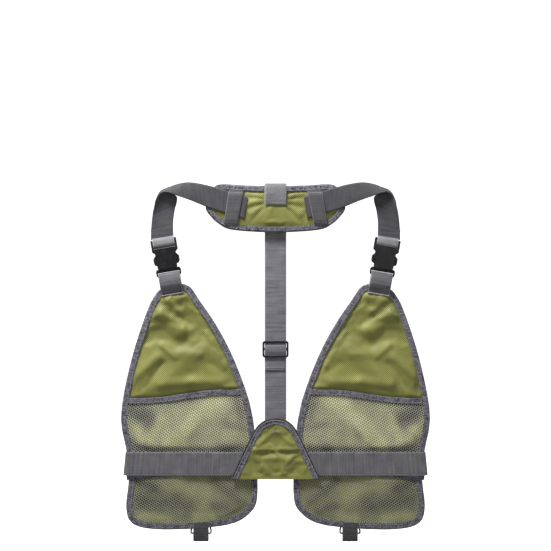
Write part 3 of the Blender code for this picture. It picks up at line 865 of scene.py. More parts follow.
def ruled(first, second, bulge=None, thick=WEB_THICK, pitch=3 * MM, rows=13, *, wave, seed):
    """Webbing between two edge curves in space, given in millimetres. bulge bows the middle of its width."""
    a, b = (np.array(edge, float) for edge in (first, second))
    bow = np.zeros_like(a) if bulge is None else np.array(bulge, float)
    fine = curve_rows(np.hstack([a, b, bow]), 10) * MM
    travel = travel_along((fine[:, :3] + fine[:, 3:6]) / 2)
    marks = np.linspace(0, travel[-1], max(3, int(travel[-1] / pitch)) + 1)
    fine = [np.interp(marks, travel, column) for column in fine.T]
    near, far, bow = (np.column_stack(fine[k:k + 3])[:, None] for k in (0, 3, 6))
    share = np.linspace(0, 1, rows)
    w = share[:, None]
    grid = (1 - w) * near + w * far + 4 * w * (1 - w) * bow
    across = np.gradient(grid, axis=1)
    normal = unit(np.cross(across, np.gradient(grid, axis=0)))
    width = np.linalg.norm(grid[:, -1] - grid[:, 0], axis=1).mean()
    lift = np.array([[noise_at(u * WEB_WAVES, s * 1.6, seed) for s in share] for u in marks]) * wave
    rings = []
    for row, up, rise, out in zip(grid, normal, lift, unit(across)):
        top = row + up * (thick / 2 + rise)[:, None]
        low = row - up * (thick / 2 - rise)[:, None]
        far_edge = row[-1:] + out[-1:] * thick * 0.4
        near_edge = row[:1] - out[:1] * thick * 0.4
        rings.append(np.vstack([top, far_edge, low[::-1], near_edge]))
    edge = (share - 0.5) * width
    places = np.concatenate([edge, [width / 2], edge[::-1], [-width / 2], edge[:1]])
    return sweep(rings, np.append(marks, marks[-1]), places)


def moulded(name, node, material, slot, body, extras=(), voxel=0.55 * MM, rounds=3):
    """A moulding: the CAD node's form and some added relief in one skin with soft edges."""
    form = bmesh.new()
    form.from_mesh(frame["nodes"][node].data)
    bmesh.ops.remove_doubles(form, verts=form.verts, dist=WELD)
    for extra in extras:
        made = [form.verts.new(p) for p in extra.points]
        for face in extra.faces:
            form.faces.new([made[i] for i in face])
    bmesh.ops.recalc_face_normals(form, faces=form.faces)
    mesh = bpy.data.meshes.new(name)
    form.to_mesh(mesh)
    form.free()
    obj = put_in_scene(name, mesh)
    remesh = obj.modifiers.new("Remesh", "REMESH")
    remesh.mode = "VOXEL"
    remesh.voxel_size = voxel
    smooth = obj.modifiers.new("Smooth", "SMOOTH")
    smooth.iterations = rounds
    smooth.factor = 0.5
    graph = bpy.context.evaluated_depsgraph_get()
    done = bpy.data.meshes.new_from_object(obj.evaluated_get(graph))
    bpy.data.objects.remove(obj)
    done.shade_smooth()
    done.materials.clear()
    done.materials.append(material)
    done.uv_layers.new(name="cloth")
    install(name, done, node, body)
    return done


def install(name, data, node, body):
    """A moulding's object, which rides on its body in the CAD node's place."""
    piece = put_in_scene(name, data)
    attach(piece, body)
    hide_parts(node)


def moulded_pair(name, node, slot, body, material=PLASTIC, **how):
    """A moulding on the left and its mirror image on the right."""
    data = moulded("left_" + name, "left_" + node, material, slot, body.format("left"), **how).copy()
    data.transform(((-1, 0, 0, 0), (0, 1, 0, 0), (0, 0, 1, 0), (0, 0, 0, 1)))
    data.flip_normals()
    install("right_" + name, data, "right_" + node, body.format("right"))


# ---------------------------------------------------------------- panels

HARNESS = "back_harness"
PANEL = "{}_panel"
# Folds: two ends, half width and height towards the back, in millimetres.
PANEL_FOLDS = [
    (-192, 291, -157, 294, 9, 5.28), (-188, 285, -165, 264, 5, 2.28), (-191, 268, -153, 244, 6, -3.12),
    (-226, 262, -201, 261, 12, 3.84), (-201, 261, -150, 232, 14, 5.76), (-230, 219, -194, 223, 10, -3.84),
    (-194, 223, -169, 209, 10, -4.08), (-169, 209, -144, 228, 10, -4.08), (-201, 208, -176, 186, 4, 2.16),
    (-208, 186, -252, 147, 8, 4.32), (-198, 176, -231, 132, 5, -3.12), (-224, 147, -234, 120, 3.5, 1.92),
    (-128, 200, -201, 142, 12, 2.88), (-202, 139, -147, 144, 8, 3.12), (-147, 144, -97, 142, 8, 3.12),
    (-89, 132, -69, 135, 5, 2.4), (-256, 116, -242, 120, 4, 1.8), (-121, 228, -88, 170, 4, 1.92),
    (-128, 226, -110, 206, 5, -1.92), (-172, 196, -132, 192, 9, 2.64), (-112, 176, -92, 160, 7, -2.16)]
LINING_FOLDS = [(-240, 60, -120, 110, 9, 0.4), (-230, 20, -80, 70, 8, -0.4), (-90, 100, -60, 30, 8, 0.4),
                (-220, -60, -70, -90, 9, 0.4)]
NET_FOLDS = [
    (-257, 83, -234, 68, 9, -3.64), (-234, 68, -202, 95, 9, -3.36), (-88, 105, -202, 28, 14, 4.48),
    (-58, 75, -88, 31, 8, 2.8), (-240, 50, -215, 30, 8, 2.24), (-150, 98, -120, 70, 7, -1.96),
    (-250, -49, -178, -31, 10, 3.36), (-163, -59, -113, -42, 14, -2.24), (-247, -96, -192, -103, 9, 3.08),
    (-105, -99, -55, -76, 9, 3.08), (-90, -45, -70, -62, 8, 2.52)]
# Depth of the net's threads, as a share of their width.
NET_FLATNESS = 0.7
# No point of the net, the panel's fabric or the patch's fabric goes past these towards +Y.
NET_FLOOR = 1.9 * MM
GREEN_FLOOR = 4.6 * MM
PATCH_FLOOR = -6.0 * MM

panel_edge, panel_inner = (turned_left(loop) for loop in flat_loops("left_panel_binding"))
panel_edge = soften_loop(resample(panel_edge, 3 * MM, True), 4)
panel_inner = resample(panel_inner, 3 * MM, True)
mesh_band = flat_loops("left_mesh_binding")[0]
BAND_LOW, BAND_HIGH = (max(mesh_band[abs(mesh_band[:, 0] - end) < 12 * MM], key=lambda p: p[1])
                       for end in (mesh_band[:, 0].min(), mesh_band[:, 0].max()))


def mesh_line(x):
    """Height of the mesh pocket's top edge."""
    (x0, z0), (x1, z1) = BAND_LOW, BAND_HIGH
    share = (x - x0) / (x1 - x0)
    return z0 + share * (z1 - z0) - 2.5 * MM * np.sin(share * 2 * math.pi)


# Painted shade on the mesh and its backing, more or less than elsewhere: two ends, half width and amount.
PAINTED_SHADE_STROKES = [
    (-250, 96, -224, 78, 17, 0.7), (-226, 107, -140, 113, 8, 0.3), (-70, 120, -58, 82, 10, 0.45),
    (-84, 68, -50, 60, 8, 0.3), (-252, 25, -60, 23, 6, 0.55), (-254, 36, -236, 26, 10, 0.5),
    (-96, 28, -60, 28, 8, 0.3), (-106, 112, -184, 36, 13, -0.5), (-205, 78, -218, 42, 9, -0.35),
    (-243, 60, -238, 42, 8, -0.3), (-120, 92, -150, 45, 6, 0.2),
    (-246, -30, -214, -42, 9, 0.45), (-236, -64, -160, -74, 19, 0.38), (-106, -30, -62, -68, 10, 0.32),
    (-108, -76, -76, -82, 9, 0.3), (-236, -94, -190, -99, 8, -0.45), (-140, -96, -112, -96, 7, -0.5),
    (-182, -32, -130, -50, 12, -0.25)]
USUAL_PAINTED_SHADE = 0.34


def mark_painted_shade(pieces):
    """Writes the painted shade at each point, for the materials to read."""
    for obj in pieces:
        spots = np.empty((len(obj.data.vertices), 3), np.float32)
        obj.data.vertices.foreach_get("co", spots.ravel())
        spots[:, 0] = -abs(spots[:, 0])
        # Painted shade, not a depth: the usual share plus the strokes, 0 to 1.
        depth = np.clip(USUAL_PAINTED_SHADE + folds(spots[:, [0, 2]], PAINTED_SHADE_STROKES) / MM, 0, 1)
        layer = obj.data.attributes.new("hollow", "FLOAT", "POINT")
        layer.data.foreach_set("value", depth.astype(np.float32))


def make_panels():
    def below(plan):
        """1 where the mesh pockets cover the fabric."""
        return ease((mesh_line(plan[:, 0]) + 6 * MM - plan[:, 1]) / (10 * MM))

    def level(plan):
        crown = ease((distance_to(plan, panel_edge) - 10 * MM) / (24 * MM))
        above = ease((plan[:, 1] - mesh_line(plan[:, 0])) / (20 * MM))
        # The fabric sinks in across the panel's upper third.
        sag = np.exp(-((plan[:, 1] - 245 * MM) / (26 * MM)) ** 2)
        return 1.9 * MM + 2.4 * MM * below(plan) - (2.2 * above - 3.0 * sag) * MM * crown

    shell = fabric(shrink(panel_edge, 4.5 * MM), 4.0 * MM, level, 3.0, PANEL_FOLDS, slack=0.022,
                   amount=0.6 * MM, limit=1.6 * MM, covered=5 * MM, reach=7 * MM, floor=GREEN_FLOOR,
                   taut=lambda plan: below(plan) * 0.98)
    pair("panel_shell", shell, GREEN, "ripstop", PANEL, ["{}_panel_body"])
    binding = bound_edge(panel_edge, 0.0, 6.4 * MM, BINDING, 5.0)
    pair("panel_edge_tape", binding, BINDING_CLOTH, "binding", PANEL, ["{}_panel_binding"])
    seams = edge_seams(panel_edge, BINDING - 2.0 * MM, -0.25 * MM, 6.65 * MM)
    pair("panel_edge_stitching", seams, STITCH, "binding", PANEL)


def make_mesh_pockets():
    for name, seed, bulge, cloth in (("upper", 1.0, 3.8, MESH_THREAD), ("lower", 6.0, 2.8, SHADED_LOWER_THREAD)):
        loop = turned_left(flat_loops("left_mesh_pocket_" + name)[0])
        reach = shrink(resample(loop, 4 * MM, True), -3.5 * MM)
        low, high = loop[:, 1].min(), loop[:, 1].max()

        def level(plan):
            rise = np.sin(np.pi * np.clip((plan[:, 1] - low) / (high - low), 0, 1))
            inner = ease((distance_to(plan, loop) - 1 * MM) / (16 * MM))
            wrinkle = folds(plan, NET_FOLDS) + 0.6 * MM * ripple(plan, 32.0, seed)
            # The belt holds the net down where it crosses.
            held = 1 - 0.75 * ease((32 * MM - np.abs(plan[:, 1])) / (12 * MM))
            return soft_min(1.5 * MM - inner * held * (bulge * MM * rise + wrinkle), NET_FLOOR, 0.3 * MM)

        threads = thread_net(net(reach, 3.8 * MM, level, turn=-0.66, stretch=1.25), 0.85 * MM)
        middle = level(threads.plan)
        threads.points[:, 1] = middle + (threads.points[:, 1] - middle) * NET_FLATNESS
        # The nets here and the backing below carry painted shade for their materials.
        mark_painted_shade(pair(f"mesh_pocket_{name}_net", threads, cloth, "mesh", PANEL,
                          [f"{{}}_mesh_pocket_{name}"], smooth=20))
    backing_loop = shrink(resample(mesh_region(), 4 * MM, True), -3 * MM)
    backing = fabric(backing_loop, 5 * MM, 2.7 * MM, 9.0, LINING_FOLDS, slack=0.008, amount=0.25 * MM,
                     limit=0.35 * MM, thick=0.4 * MM)
    mark_painted_shade(pair("mesh_pocket_backing", backing, SHADED_POCKET_BACK, "ripstop", PANEL))

    x = np.linspace(BAND_LOW[0] - 5 * MM, BAND_HIGH[0] + 5 * MM, 60)
    top = np.column_stack([x, mesh_line(x)])
    lower = resample(curve_rows(mm([(-60, -6), (-120, -9), (-180, -12), (-262, -19.5)]), 12), 3 * MM)
    for name, path, near, far, seed, hides in (
            ("mesh_top_tape", top[::-1] + (0, 0.5 * MM), -0.2, 2.6, 8.0, ["{}_mesh_binding"]),
            ("mesh_lower_tape", lower, -0.3, 2.4, 12.0, [])):
        band = bound_edge(path, near * MM, far * MM, 10 * MM, seed, closed=False, pucker=0.4 * MM)
        pair(name, band, BINDING_CLOTH, "binding", PANEL, hides)
    seam = at_level(top - (0, 7.8 * MM), -0.45 * MM)
    pair("mesh_top_stitching", stitches(seam), STITCH, "binding", PANEL)


def mesh_region():
    """The part of the panel that the mesh pockets cover."""
    kept = np.array([p for p in resample(panel_inner, 3 * MM, True) if p[1] < mesh_line(p[0]) - 4 * MM])
    gap = np.linalg.norm(np.roll(kept, -1, axis=0) - kept, axis=1).argmax()
    return np.roll(kept, -gap - 1, axis=0)


# ---------------------------------------------------------------- shoulder straps and buckles

joints = {joint["name"]: joint for joint in frame["joints"]}
release = joints["left_buckle_release"]
DOWN = np.array(release["axis"])
BUCKLE_UP = -DOWN
BUCKLE_ACROSS = np.array((BUCKLE_UP[2], 0.0, -BUCKLE_UP[0]))
PRONG_ROOT = np.array(joints["left_prong_outer_flex"]["pos_m"])
# The outer prong's root lies this far across and below the middle of the buckle.
BUCKLE_CENTRE = PRONG_ROOT + BUCKLE_ACROSS * 12.75 * MM + BUCKLE_UP * 18.4 * MM


def in_buckle(rows):
    """Points given across, towards +Y and up the left buckle, in millimetres, as world points."""
    return BUCKLE_CENTRE + mm(rows) @ np.array((BUCKLE_ACROSS, FORWARD, BUCKLE_UP))


def buckle_block(x, y, z, corner):
    """A small block in the buckle's frame with eased corners, as a prism through the buckle."""
    (x0, x1), (y0, y1), (z0, z1) = x, y, z
    plan = [(x0 + corner, z0), (x1 - corner, z0), (x1, z0 + corner), (x1, z1 - corner), (x1 - corner, z1),
            (x0 + corner, z1), (x0, z1 - corner), (x0, z0 + corner)]
    rings = [in_buckle([(a, y, b) for a, b in plan]) for y in (y0, y1)]
    return sweep(rings, [0, 1, 2], [0] * 9)


def buckle_ribbon(path, width, seed):
    """Webbing through the buckle: a path given towards +Y and up, with a width, in millimetres."""
    fine = curve_rows(np.array(path, float), 8)
    centres = resample(in_buckle([(0, y, z) for y, z in fine]), 1.2 * MM)
    return ribbon(centres, BUCKLE_ACROSS, width * MM, wave=0.12 * MM, seed=seed)


def make_shoulders():
    # The edge that starts uppermost on the pad, and the edge that starts lowest.
    upper = [(-49, -17.4, 467), (-80, -17.4, 476), (-112, -17.4, 485), (-134, -17.3, 490),
             (-153, -16.6, 492), (-171, -14.6, 489.5), (-183, -11.5, 484.5), (-187, -8.2, 479),
             (-182, -6.6, 474), (-173.5, -5.8, 468), (-173.5, -5.6, 458), (-177, -5.5, 445),
             (-179.8, -5.5, 425), (-179.8, -5.5, 405), (-179, -5.5, 392)]
    lower = [(-55, -17.4, 430), (-81, -17.4, 437.5), (-106, -17.4, 445.5), (-126, -18.0, 452.5),
             (-148, -18.8, 461.5), (-170, -19.8, 469), (-190, -20.0, 475.5), (-201, -18.8, 473),
             (-208, -16.4, 463), (-211.5, -12.0, 451), (-214, -8.4, 441), (-215.5, -6.4, 431),
             (-217, -5.5, 416), (-217.6, -5.5, 403), (-217.6, -5.5, 392)]
    bow = [(0, 0, 0)] * 3 + [(0, -0.6, 0), (-0.5, -1.2, 0.6), (-1.5, -1.2, 1.2), (-3.2, -0.6, 1.6),
                             (-5.0, 0, 2.0), (-5.2, 0.2, 1.8), (-3.2, 0.4, 0.8), (-1.2, 0.2, 0.2)]
    bow += [(0, 0, 0)] * 4
    strap = ruled(upper, lower, bow, pitch=2.6 * MM, rows=17, wave=0.25 * MM, seed=4.0)
    bend = (HARNESS, PANEL, (-0.125, 0, 0.478), (-0.199, 0, 0.410))
    pair("shoulder_webbing", strap, SHADED_SHOULDER_WEB, "webbing", None,
         ["shoulder_strap_{}", "{}_strap_front_run"], blend=bend)

    hang = [(1.2, 47), (0.6, 40), (-0.2, 35.4), (-3.0, 31.5), (-4.0, 27), (-3.6, 22), (-1.0, 18.6),
            (1.6, 19.4), (3.2, 24), (3.4, 29), (3.2, 34), (2.6, 42), (2.6, 52)]
    pair("shoulder_strap_tail", buckle_ribbon(hang, 38.4, 6.0), LIT_TAIL_WEB, "webbing", PANEL)

    anchor_left = [(-80.5, -16.9, 479.5), (-81.6, -17.9, 474), (-82.6, -19.6, 469), (-85.8, -19.6, 446),
                   (-88.6, -19.4, 428), (-89.4, -18.2, 423), (-90, -16.9, 418.5)]
    anchor_right = [(-55, -16.9, 479.5), (-56.5, -17.9, 474), (-57.6, -19.6, 469), (-62.2, -19.6, 446),
                    (-65.6, -19.4, 428), (-66.4, -18.2, 423), (-67, -16.9, 418.5)]
    anchor = ruled(anchor_left, anchor_right, pitch=2 * MM, thick=1.5 * MM, wave=0.3 * MM, seed=7.0)
    pair("pad_anchor_loop", anchor, NARROW, "webbing", HARNESS, ["strap_anchor_{}"])
    lines = []
    for z in (474.5, 470.8, 426.5, 422.8):
        share = (479.5 - z) / 61.0
        y = -19.3 if 428 < z < 471 else -18.7
        lines.append([(-80.5 - 9.5 * share + 1.2, y, z), (-55 - 12 * share - 1.2, y, z)])
    pair("pad_anchor_stitching", sewn(lines, pitch=3.0), STITCH, "webbing", HARNESS)


def make_buckles():
    face = [buckle_block((-17.5, 17.5), (-6.5, -5.0), (-20.6, 12.0), 2.5),
            buckle_block((-20.6, 20.6), (-6.5, -5.0), (10.0, 17.4), 1.2),
            buckle_block((-13.5, 13.5), (5.2, 6.5), (-11.5, 9.5), 2.5)]
    moulded_pair("buckle_shell", "buckle_housing", "plastic", PANEL, extras=face)
    ribs = [buckle_block((-21, 21), (-3.5, -2.4), (z, z + 1.2), 0.3) for z in (-22.6, -20.4)]
    moulded_pair("buckle_plug", "buckle_insert", "plastic", "{}_insert", extras=ribs)
    for word, x in (("outer", (-23.2, -20.8)), ("inner", (20.8, 23.2))):
        grips = [buckle_block(x, (-2.6, 2.6), (z, z + 1.2), 0.4) for z in (-8.6, -6.0, -3.4, -0.8)]
        moulded_pair(f"buckle_prong_{word}", f"prong_{word}", "plastic", f"{{}}_{word}_prong", extras=grips,
                     voxel=0.45 * MM)

    # From the seam on the panel, in front of the insert's foot bar, through its slot and back down.
    seam = -65.2
    path = [(3.4, seam), (3.2, -62.5), (1.2, -58.5), (-1.9, -54.5), (-4.4, -50), (-5.5, -45), (-5.6, -39),
            (-5.0, -33.5), (-4.6, -31), (-3.4, -28), (0.0, -26.9), (3.0, -28), (4.6, -31.5), (5.3, -38),
            (5.6, -46), (5.7, -54)]
    # How much of the loop stays if its top goes down as far as the plug's bar does.
    top = max(z for _, z in path)
    keep = 1 - release["range_m"][1] / MM / (top - seam)
    squash = ("{}_buckle_release", tuple(DOWN), tuple(in_buckle([(0, 0, seam)])[0]), keep)
    pair("buckle_tab", buckle_ribbon(path, 38, 11.0), TAB, "webbing", PANEL, ["{}_strap_tab"], squash=squash)
    hem = in_buckle([(-18, 2.0, -61.6), (18, 2.0, -61.6)])
    pair("buckle_tab_stitching", stitches(hem, BACKWARD, 3.0, 2.2), DARK_STITCH, "webbing", PANEL,
         squash=squash)
    welt = in_buckle([(x, 1.7, seam) for x in np.linspace(-19, 19, 20)])
    pair("buckle_tab_welt", tube(welt, 1.1 * MM), PIPING, "webbing", PANEL)


# ---------------------------------------------------------------- belt, patch and centre strap

def make_belt():
    # Along the back, round the panel's outer edge and a little way along its front.
    back, front, top_turn, low_turn = -4.1, 7.7, -258.5, -262.5
    top = [(-24, back, 19.6), (-90, back, 19.9), (-160, back, 20.1), (-225, back, 20),
           (top_turn, back + 0.2, 20), (top_turn - 3.8, 0.4, 20), (top_turn - 3.6, 4.2, 20),
           (top_turn + 1, front - 0.2, 20), (-243, front, 20), (-226, front, 20)]
    low = [(-24, back, -19.8), (-90, back, -20.0), (-160, back, -19.8), (-228, back, -20),
           (low_turn, back + 0.2, -20), (low_turn - 3.2, 0.4, -20), (low_turn - 3.0, 4.2, -20),
           (low_turn + 1, front - 0.2, -20), (-245, front, -20), (-226, front, -20)]
    belt = ruled(top, low, rows=15, wave=0.35 * MM, seed=14.0)
    pair("belt_webbing", belt, BELT, "webbing", None, ["waist_belt", "{}_belt_end"],
         blend=(HARNESS, PANEL, (-0.264, -0.0032, 0), (-0.264, 0.0066, 0)))
    lines = [[(x, front + 0.9, -17.5), (x, front + 0.9, 17.5)] for x in (-228.5, -232.0)]
    pair("belt_end_stitching", sewn(lines, FORWARD, 3.0, 2.2), STITCH, "webbing", PANEL)


PATCH_FOLDS = [
    (-4, 56, -31, 33, 4, 1.9), (4, 56, 29, 35, 4, 1.9), (-12, 40, 12, 42, 7, -1.2),
    (-37, 25.5, 38, 25.5, 3.0, 2.6), (-40, 17, 40, 17, 5, -2.0), (-37, 19, -12, -21, 6, 2.6),
    (30, 14, 11, -21, 6, 2.6), (-16, 10, 0, 13, 6, 2.2), (0, 13, 16, 10, 6, 2.2), (-6, -16, 6, -16, 5, -2.0),
    (-52, 6, -30, -18, 6, -1.6), (52, 6, 30, -18, 6, -1.6), (-66, -25.5, 66, -25.5, 3.0, 1.8),
    (-5, 62, 0, 66, 2.4, 0.9), (5, 62, 0, 66, 2.4, 0.9)]


def arch_edge():
    """The back patch's outer edge, from its left foot over the top to its right foot."""
    loop = resample(turned_left(flat_loops("back_patch_binding")[0]), 2 * MM, True)
    outer = distance_to(loop, flat_loops("back_patch_shell")[0]) > 6.5 * MM
    start = next(i for i in range(len(loop)) if outer[i] and not outer[i - 1])
    rolled = np.roll(np.arange(len(loop)), -start)
    path = loop[[i for i in rolled if outer[i]]]
    return path if path[0, 0] > path[-1, 0] else path[::-1]


def make_patch():
    edge = resample(arch_edge(), 2.5 * MM)
    edge[1:-1] = (edge[:-2] + 2 * edge[1:-1] + edge[2:]) / 4
    whole = turned_left(edge)
    rim = shrink(resample(whole, 3 * MM, True), 3 * MM)
    hem = whole[:, 1].min()
    rim[rim[:, 1] < hem + 5 * MM, 1] = hem + 0.3 * MM
    shell = fabric(rim, 3.0 * MM, -7.6 * MM, 21.0, PATCH_FOLDS, slack=0.03, amount=0.7 * MM,
                   limit=1.3 * MM, tuck=8 * MM, covered=5 * MM, floor=PATCH_FLOOR)
    place("patch_shell", shell, GREEN, "ripstop", HARNESS, ["back_patch_shell"])
    tape = bound_edge(edge, -9.0 * MM, -5.4 * MM, BINDING, 22.0, closed=False)
    place("patch_edge_tape", tape, BINDING_CLOTH, "binding", HARNESS, ["back_patch_binding"])
    back = sheet(shrink(resample(whole, 4 * MM, True), 2 * MM), 7 * MM, -1.9 * MM)
    back = thicken(back.raised(0.25 * MM * ripple(back.plan, 60.0, 25.0)), 0.8 * MM)
    place("patch_lining", back, LINING, "ripstop", HARNESS, ["back_patch_lining"])

    normals = inward(edge, closed=False)
    # The rim cord is a dark cord that paints shade along the patch's outer edge; the piping is a pale cord.
    for name, inset, level, radius, cloth in (("patch_rim_cord_painted_shade", 0.9, -8.4, 1.5, SHADE_RIM_CLOTH),
                                              ("patch_piping", 3.2, -9.8, 0.4, PIPING)):
        cord = tube(at_level(edge + normals * inset * MM, level * MM), radius * MM)
        place(name, cord, cloth, "binding", HARNESS)
    rows = [stitches(at_level(edge + normals * (BINDING - 1.8 * MM), -9.3 * MM))]
    # A sewn triangle under the arch's top, on the fabric's near side.
    near = shell.points[:len(shell.points) // 2]
    for side in (((-6, 56), (0, 62)), ((0, 62), (6, 56)), ((-6, 56), (6, 56))):
        line = resample(mm(side), 1.5 * MM)
        level = [near[np.linalg.norm(near[:, [0, 2]] - spot, axis=1).argmin(), 1] for spot in line]
        rows.append(stitches(at_level(line, np.array(level) - 0.2 * MM), BACKWARD, 2.4, 1.7, 0.35))
    place("patch_stitching", join(rows), STITCH, "binding", HARNESS)


def make_centre():
    line = [(-4.1, 22), (-4.1, 120), (-4.1, 250), (-4.1, 400), (-4.1, 476), (-4.4, 483), (-7, 488.6),
            (-11, 490.2), (-15.2, 488.4), (-17.7, 482.5), (-18.6, 474), (-18.4, 464), (-17.6, 454)]
    strap = ribbon(upright_path(line, 12, 2.5 * MM), (1, 0, 0), wave=0.3 * MM, seed=31.0)
    place("centre_webbing", strap, STRAP, "webbing", HARNESS, ["centre_strap"])
    # A sewn box below the top loop, and a hem.
    corners = [(x, -19.5 if z > 460 else -18.9, z)
               for x, z in ((-15.5, 472), (15.5, 472), (15.5, 457.5), (-15.5, 457.5), (-15.5, 472))]
    lines = [*zip(corners, corners[1:]), [(-17.5, -5.15, 311), (17.5, -5.15, 311)]]
    place("centre_strap_stitching", sewn(lines), STITCH, "webbing", HARNESS)

    line = [(-6.2, 164.5), (-6.2, 178), (-6.3, 188), (-7.4, 193), (-8.9, 198), (-8.9, 204), (-7.4, 209.4),
            (-6.3, 213), (-6.2, 219)]
    end = ribbon(upright_path(line, 8, 1.5 * MM), (1, 0, 0), 37.4 * MM, wave=0.15 * MM, seed=33.0)
    place("centre_webbing_end", end, STRAP, "webbing", "centre_adjuster", ["centre_strap_end"])
    hem = sewn([[(-17, -7.25, 168.5), (17, -7.25, 168.5)]])
    place("centre_end_stitching", hem, STITCH, "webbing", "centre_adjuster")
    moulded("centre_slide_buckle", "centre_slider", PLASTIC, "plastic", "centre_adjuster", voxel=0.5 * MM)


# ---------------------------------------------------------------- neck pad

PAD_FOLDS = [
    (-22, 472, -47, 478, 3.0, -1.3), (-22, 464, -47, 467, 3.0, -1.7), (-21, 456, -46, 448, 3.2, -1.8),
    (-19, 451, -41, 424, 3.2, -1.7), (-22, 468, -46, 473, 2.8, 0.9), (-22, 460, -46, 457, 3.0, 1.1),
    (-20, 452, -44, 436, 3.0, 1.1), (-10, 447, -16, 426, 4.0, 1.0), (-12, 416, 12, 416, 4.0, -0.8),
    (-6, 446, -4, 425, 4.0, 0.8), (-96, 470, -112, 455, 4.0, -0.9), (-92, 428, -108, 440, 4.0, -0.9),
    (-98, 474, -108, 466, 3.0, 0.7), (-48, 420, -54, 440, 3.0, -1.0)]


def make_pad():
    edge = soften_loop(resample(turned_left(flat_loops("neck_pad_binding")[0]), 3 * MM, True), 2)
    rim = shrink(edge, 4 * MM)
    front = sheet(rim, 3.6 * MM, -13.6 * MM)
    plan = front.plan
    gap = distance_to(plan, rim)
    swell = ease(gap / (17 * MM))
    front = front.raised(swell * 2.0 * MM + 0.35 * MM * swell * ripple(plan, 70.0, 41.0))
    whole = slab(front, at_level(plan, -7.6 * MM + 0.9 * MM * swell))
    # The cushion is held at its rim, under the centre strap's loop and under the shoulder straps.
    x, y, z = whole.points.T
    loop = (np.abs(x) < 20 * MM) & (z > 450 * MM)
    straps = (np.abs(x) > 47 * MM) & (np.abs(x) < 95 * MM) & (y < -10 * MM)
    pinned = (np.tile(gap, 2) < 6 * MM) | loop | straps
    puffed = drape(whole, pinned, frames=12, slack=0.015, pressure=3.0, limit=1.5 * MM)
    strokes = [stroke for fold in PAD_FOLDS for stroke in (fold, (-fold[0], fold[1], -fold[2], *fold[3:]))]
    lift = folds(puffed.plan, strokes) * np.concatenate([ease(gap / (7 * MM)), np.zeros(len(gap))])
    place("neck_cushion", puffed.raised(lift), GREEN, "ripstop", HARNESS,
          ["neck_pad_shell", "neck_pad_foam", "neck_pad_lining_left", "neck_pad_lining_right"])
    tape = bound_edge(edge, -15.9 * MM, -5.6 * MM, 10 * MM, 43.0)
    place("neck_pad_edge_tape", tape, BINDING_CLOTH, "binding", HARNESS, ["neck_pad_binding"])
    seams = edge_seams(edge, 8.3 * MM, -16.15 * MM, -5.3 * MM)
    place("neck_pad_stitching", seams, STITCH, "binding", HARNESS)


# ---------------------------------------------------------------- hem loops and rings

def make_hems():
    pivot = np.array(joints["left_ring_swing"]["pos_m"])
    line = [(-1.6, -104), (-2.2, -112), (-2.6, -119), (-2.4, -127), (-1.4, -133.5), (1.6, -136.6),
            (4.6, -133.8), (5.4, -128), (5.2, -121), (4.4, -116.5), (3.2, -113.6)]
    tab = ribbon(upright_path(line, 8, 1.3 * MM, pivot[0]), (1, 0, 0), 27 * MM, 1.5 * MM, wave=0.2 * MM,
                 seed=51.0)
    pair("hem_loop", tab, HEM_WEB, "webbing", PANEL, ["{}_hem_tab"])
    middle = pivot[0] / MM
    lines = [[(middle - 11.5, -3.3, z), (middle + 11.5, -3.3, z)] for z in (-111.5, -115.0)]
    pair("hem_loop_stitching", sewn(lines), DARK_STITCH, "webbing", PANEL)

    # A D-shaped ring: a straight bar through the loop and a round bow, which leans up and forward at rest.
    tilt = math.radians(40)
    half, leg = 17.5 * MM, 4.5 * MM
    outline = [(x, 0.0) for x in np.linspace(-half, half, 15)]
    outline += [(half * math.cos(a), leg + half * math.sin(a)) for a in np.linspace(0, math.pi, 27)]
    outline = soften_loop(resample(np.array(outline), 1.3 * MM, True), 2)
    path = np.array([pivot + (x, r * math.sin(tilt), r * math.cos(tilt)) for x, r in outline])
    pair("hem_ring_wire", tube(path, 1.5 * MM, 12, closed=True), METAL, "metal", "{}_ring", ["{}_hem_ring"])


# ---------------------------------------------------------------- front pockets

# Y of the pockets' flat backs, in millimetres.
POUCH_BACK = 4.9


def pouch(node, depth, seed, puff, corner, pitch):
    """A sewn pocket in a CAD pocket's outline: a soft front that swells from its seams, and a flat back.

    Lengths are in millimetres. depth gives the front's Y at a height.
    """
    (x0, _, z0), (x1, _, z1) = box_mm(node)
    corners = []
    for cx, cz, start in ((x1 - corner, z0 + corner, -90), (x1 - corner, z1 - corner, 0),
                          (x0 + corner, z1 - corner, 90), (x0 + corner, z0 + corner, 180)):
        turns = [math.radians(start + a) for a in (0, 30, 60, 90)]
        corners += [(cx + corner * math.cos(a), cz + corner * math.sin(a)) for a in turns]
    rim = resample(mm(corners), pitch * MM, True)
    front = sheet(rim, pitch * MM, 0.0).turned_over()
    plan = front.plan
    gap = distance_to(plan, rim)
    # A steep wall round the rim, and a soft crown over the rest.
    wall_width, crown_width = 13 * MM, 32 * MM
    wall = 1 - (1 - np.clip(gap / wall_width, 0, 1)) ** 2.4
    crown = ease(gap / crown_width)
    rise = (depth(plan[:, 1] / MM) - POUCH_BACK) * wall
    level = (POUCH_BACK + rise + puff * (crown - 0.6)) * MM + 0.5 * MM * wall * ripple(plan, 38.0, seed)
    level[[a for a, _ in rim_edges(front.faces)]] = (POUCH_BACK + 1.2) * MM
    whole = slab(front.reshaped(at_level(plan, level)), at_level(plan, POUCH_BACK * MM))
    pinned = np.concatenate([gap < 5 * MM, np.ones(len(gap), bool)])
    return drape(whole, pinned, frames=12, slack=0.02, pressure=1.5, limit=2.0 * MM)


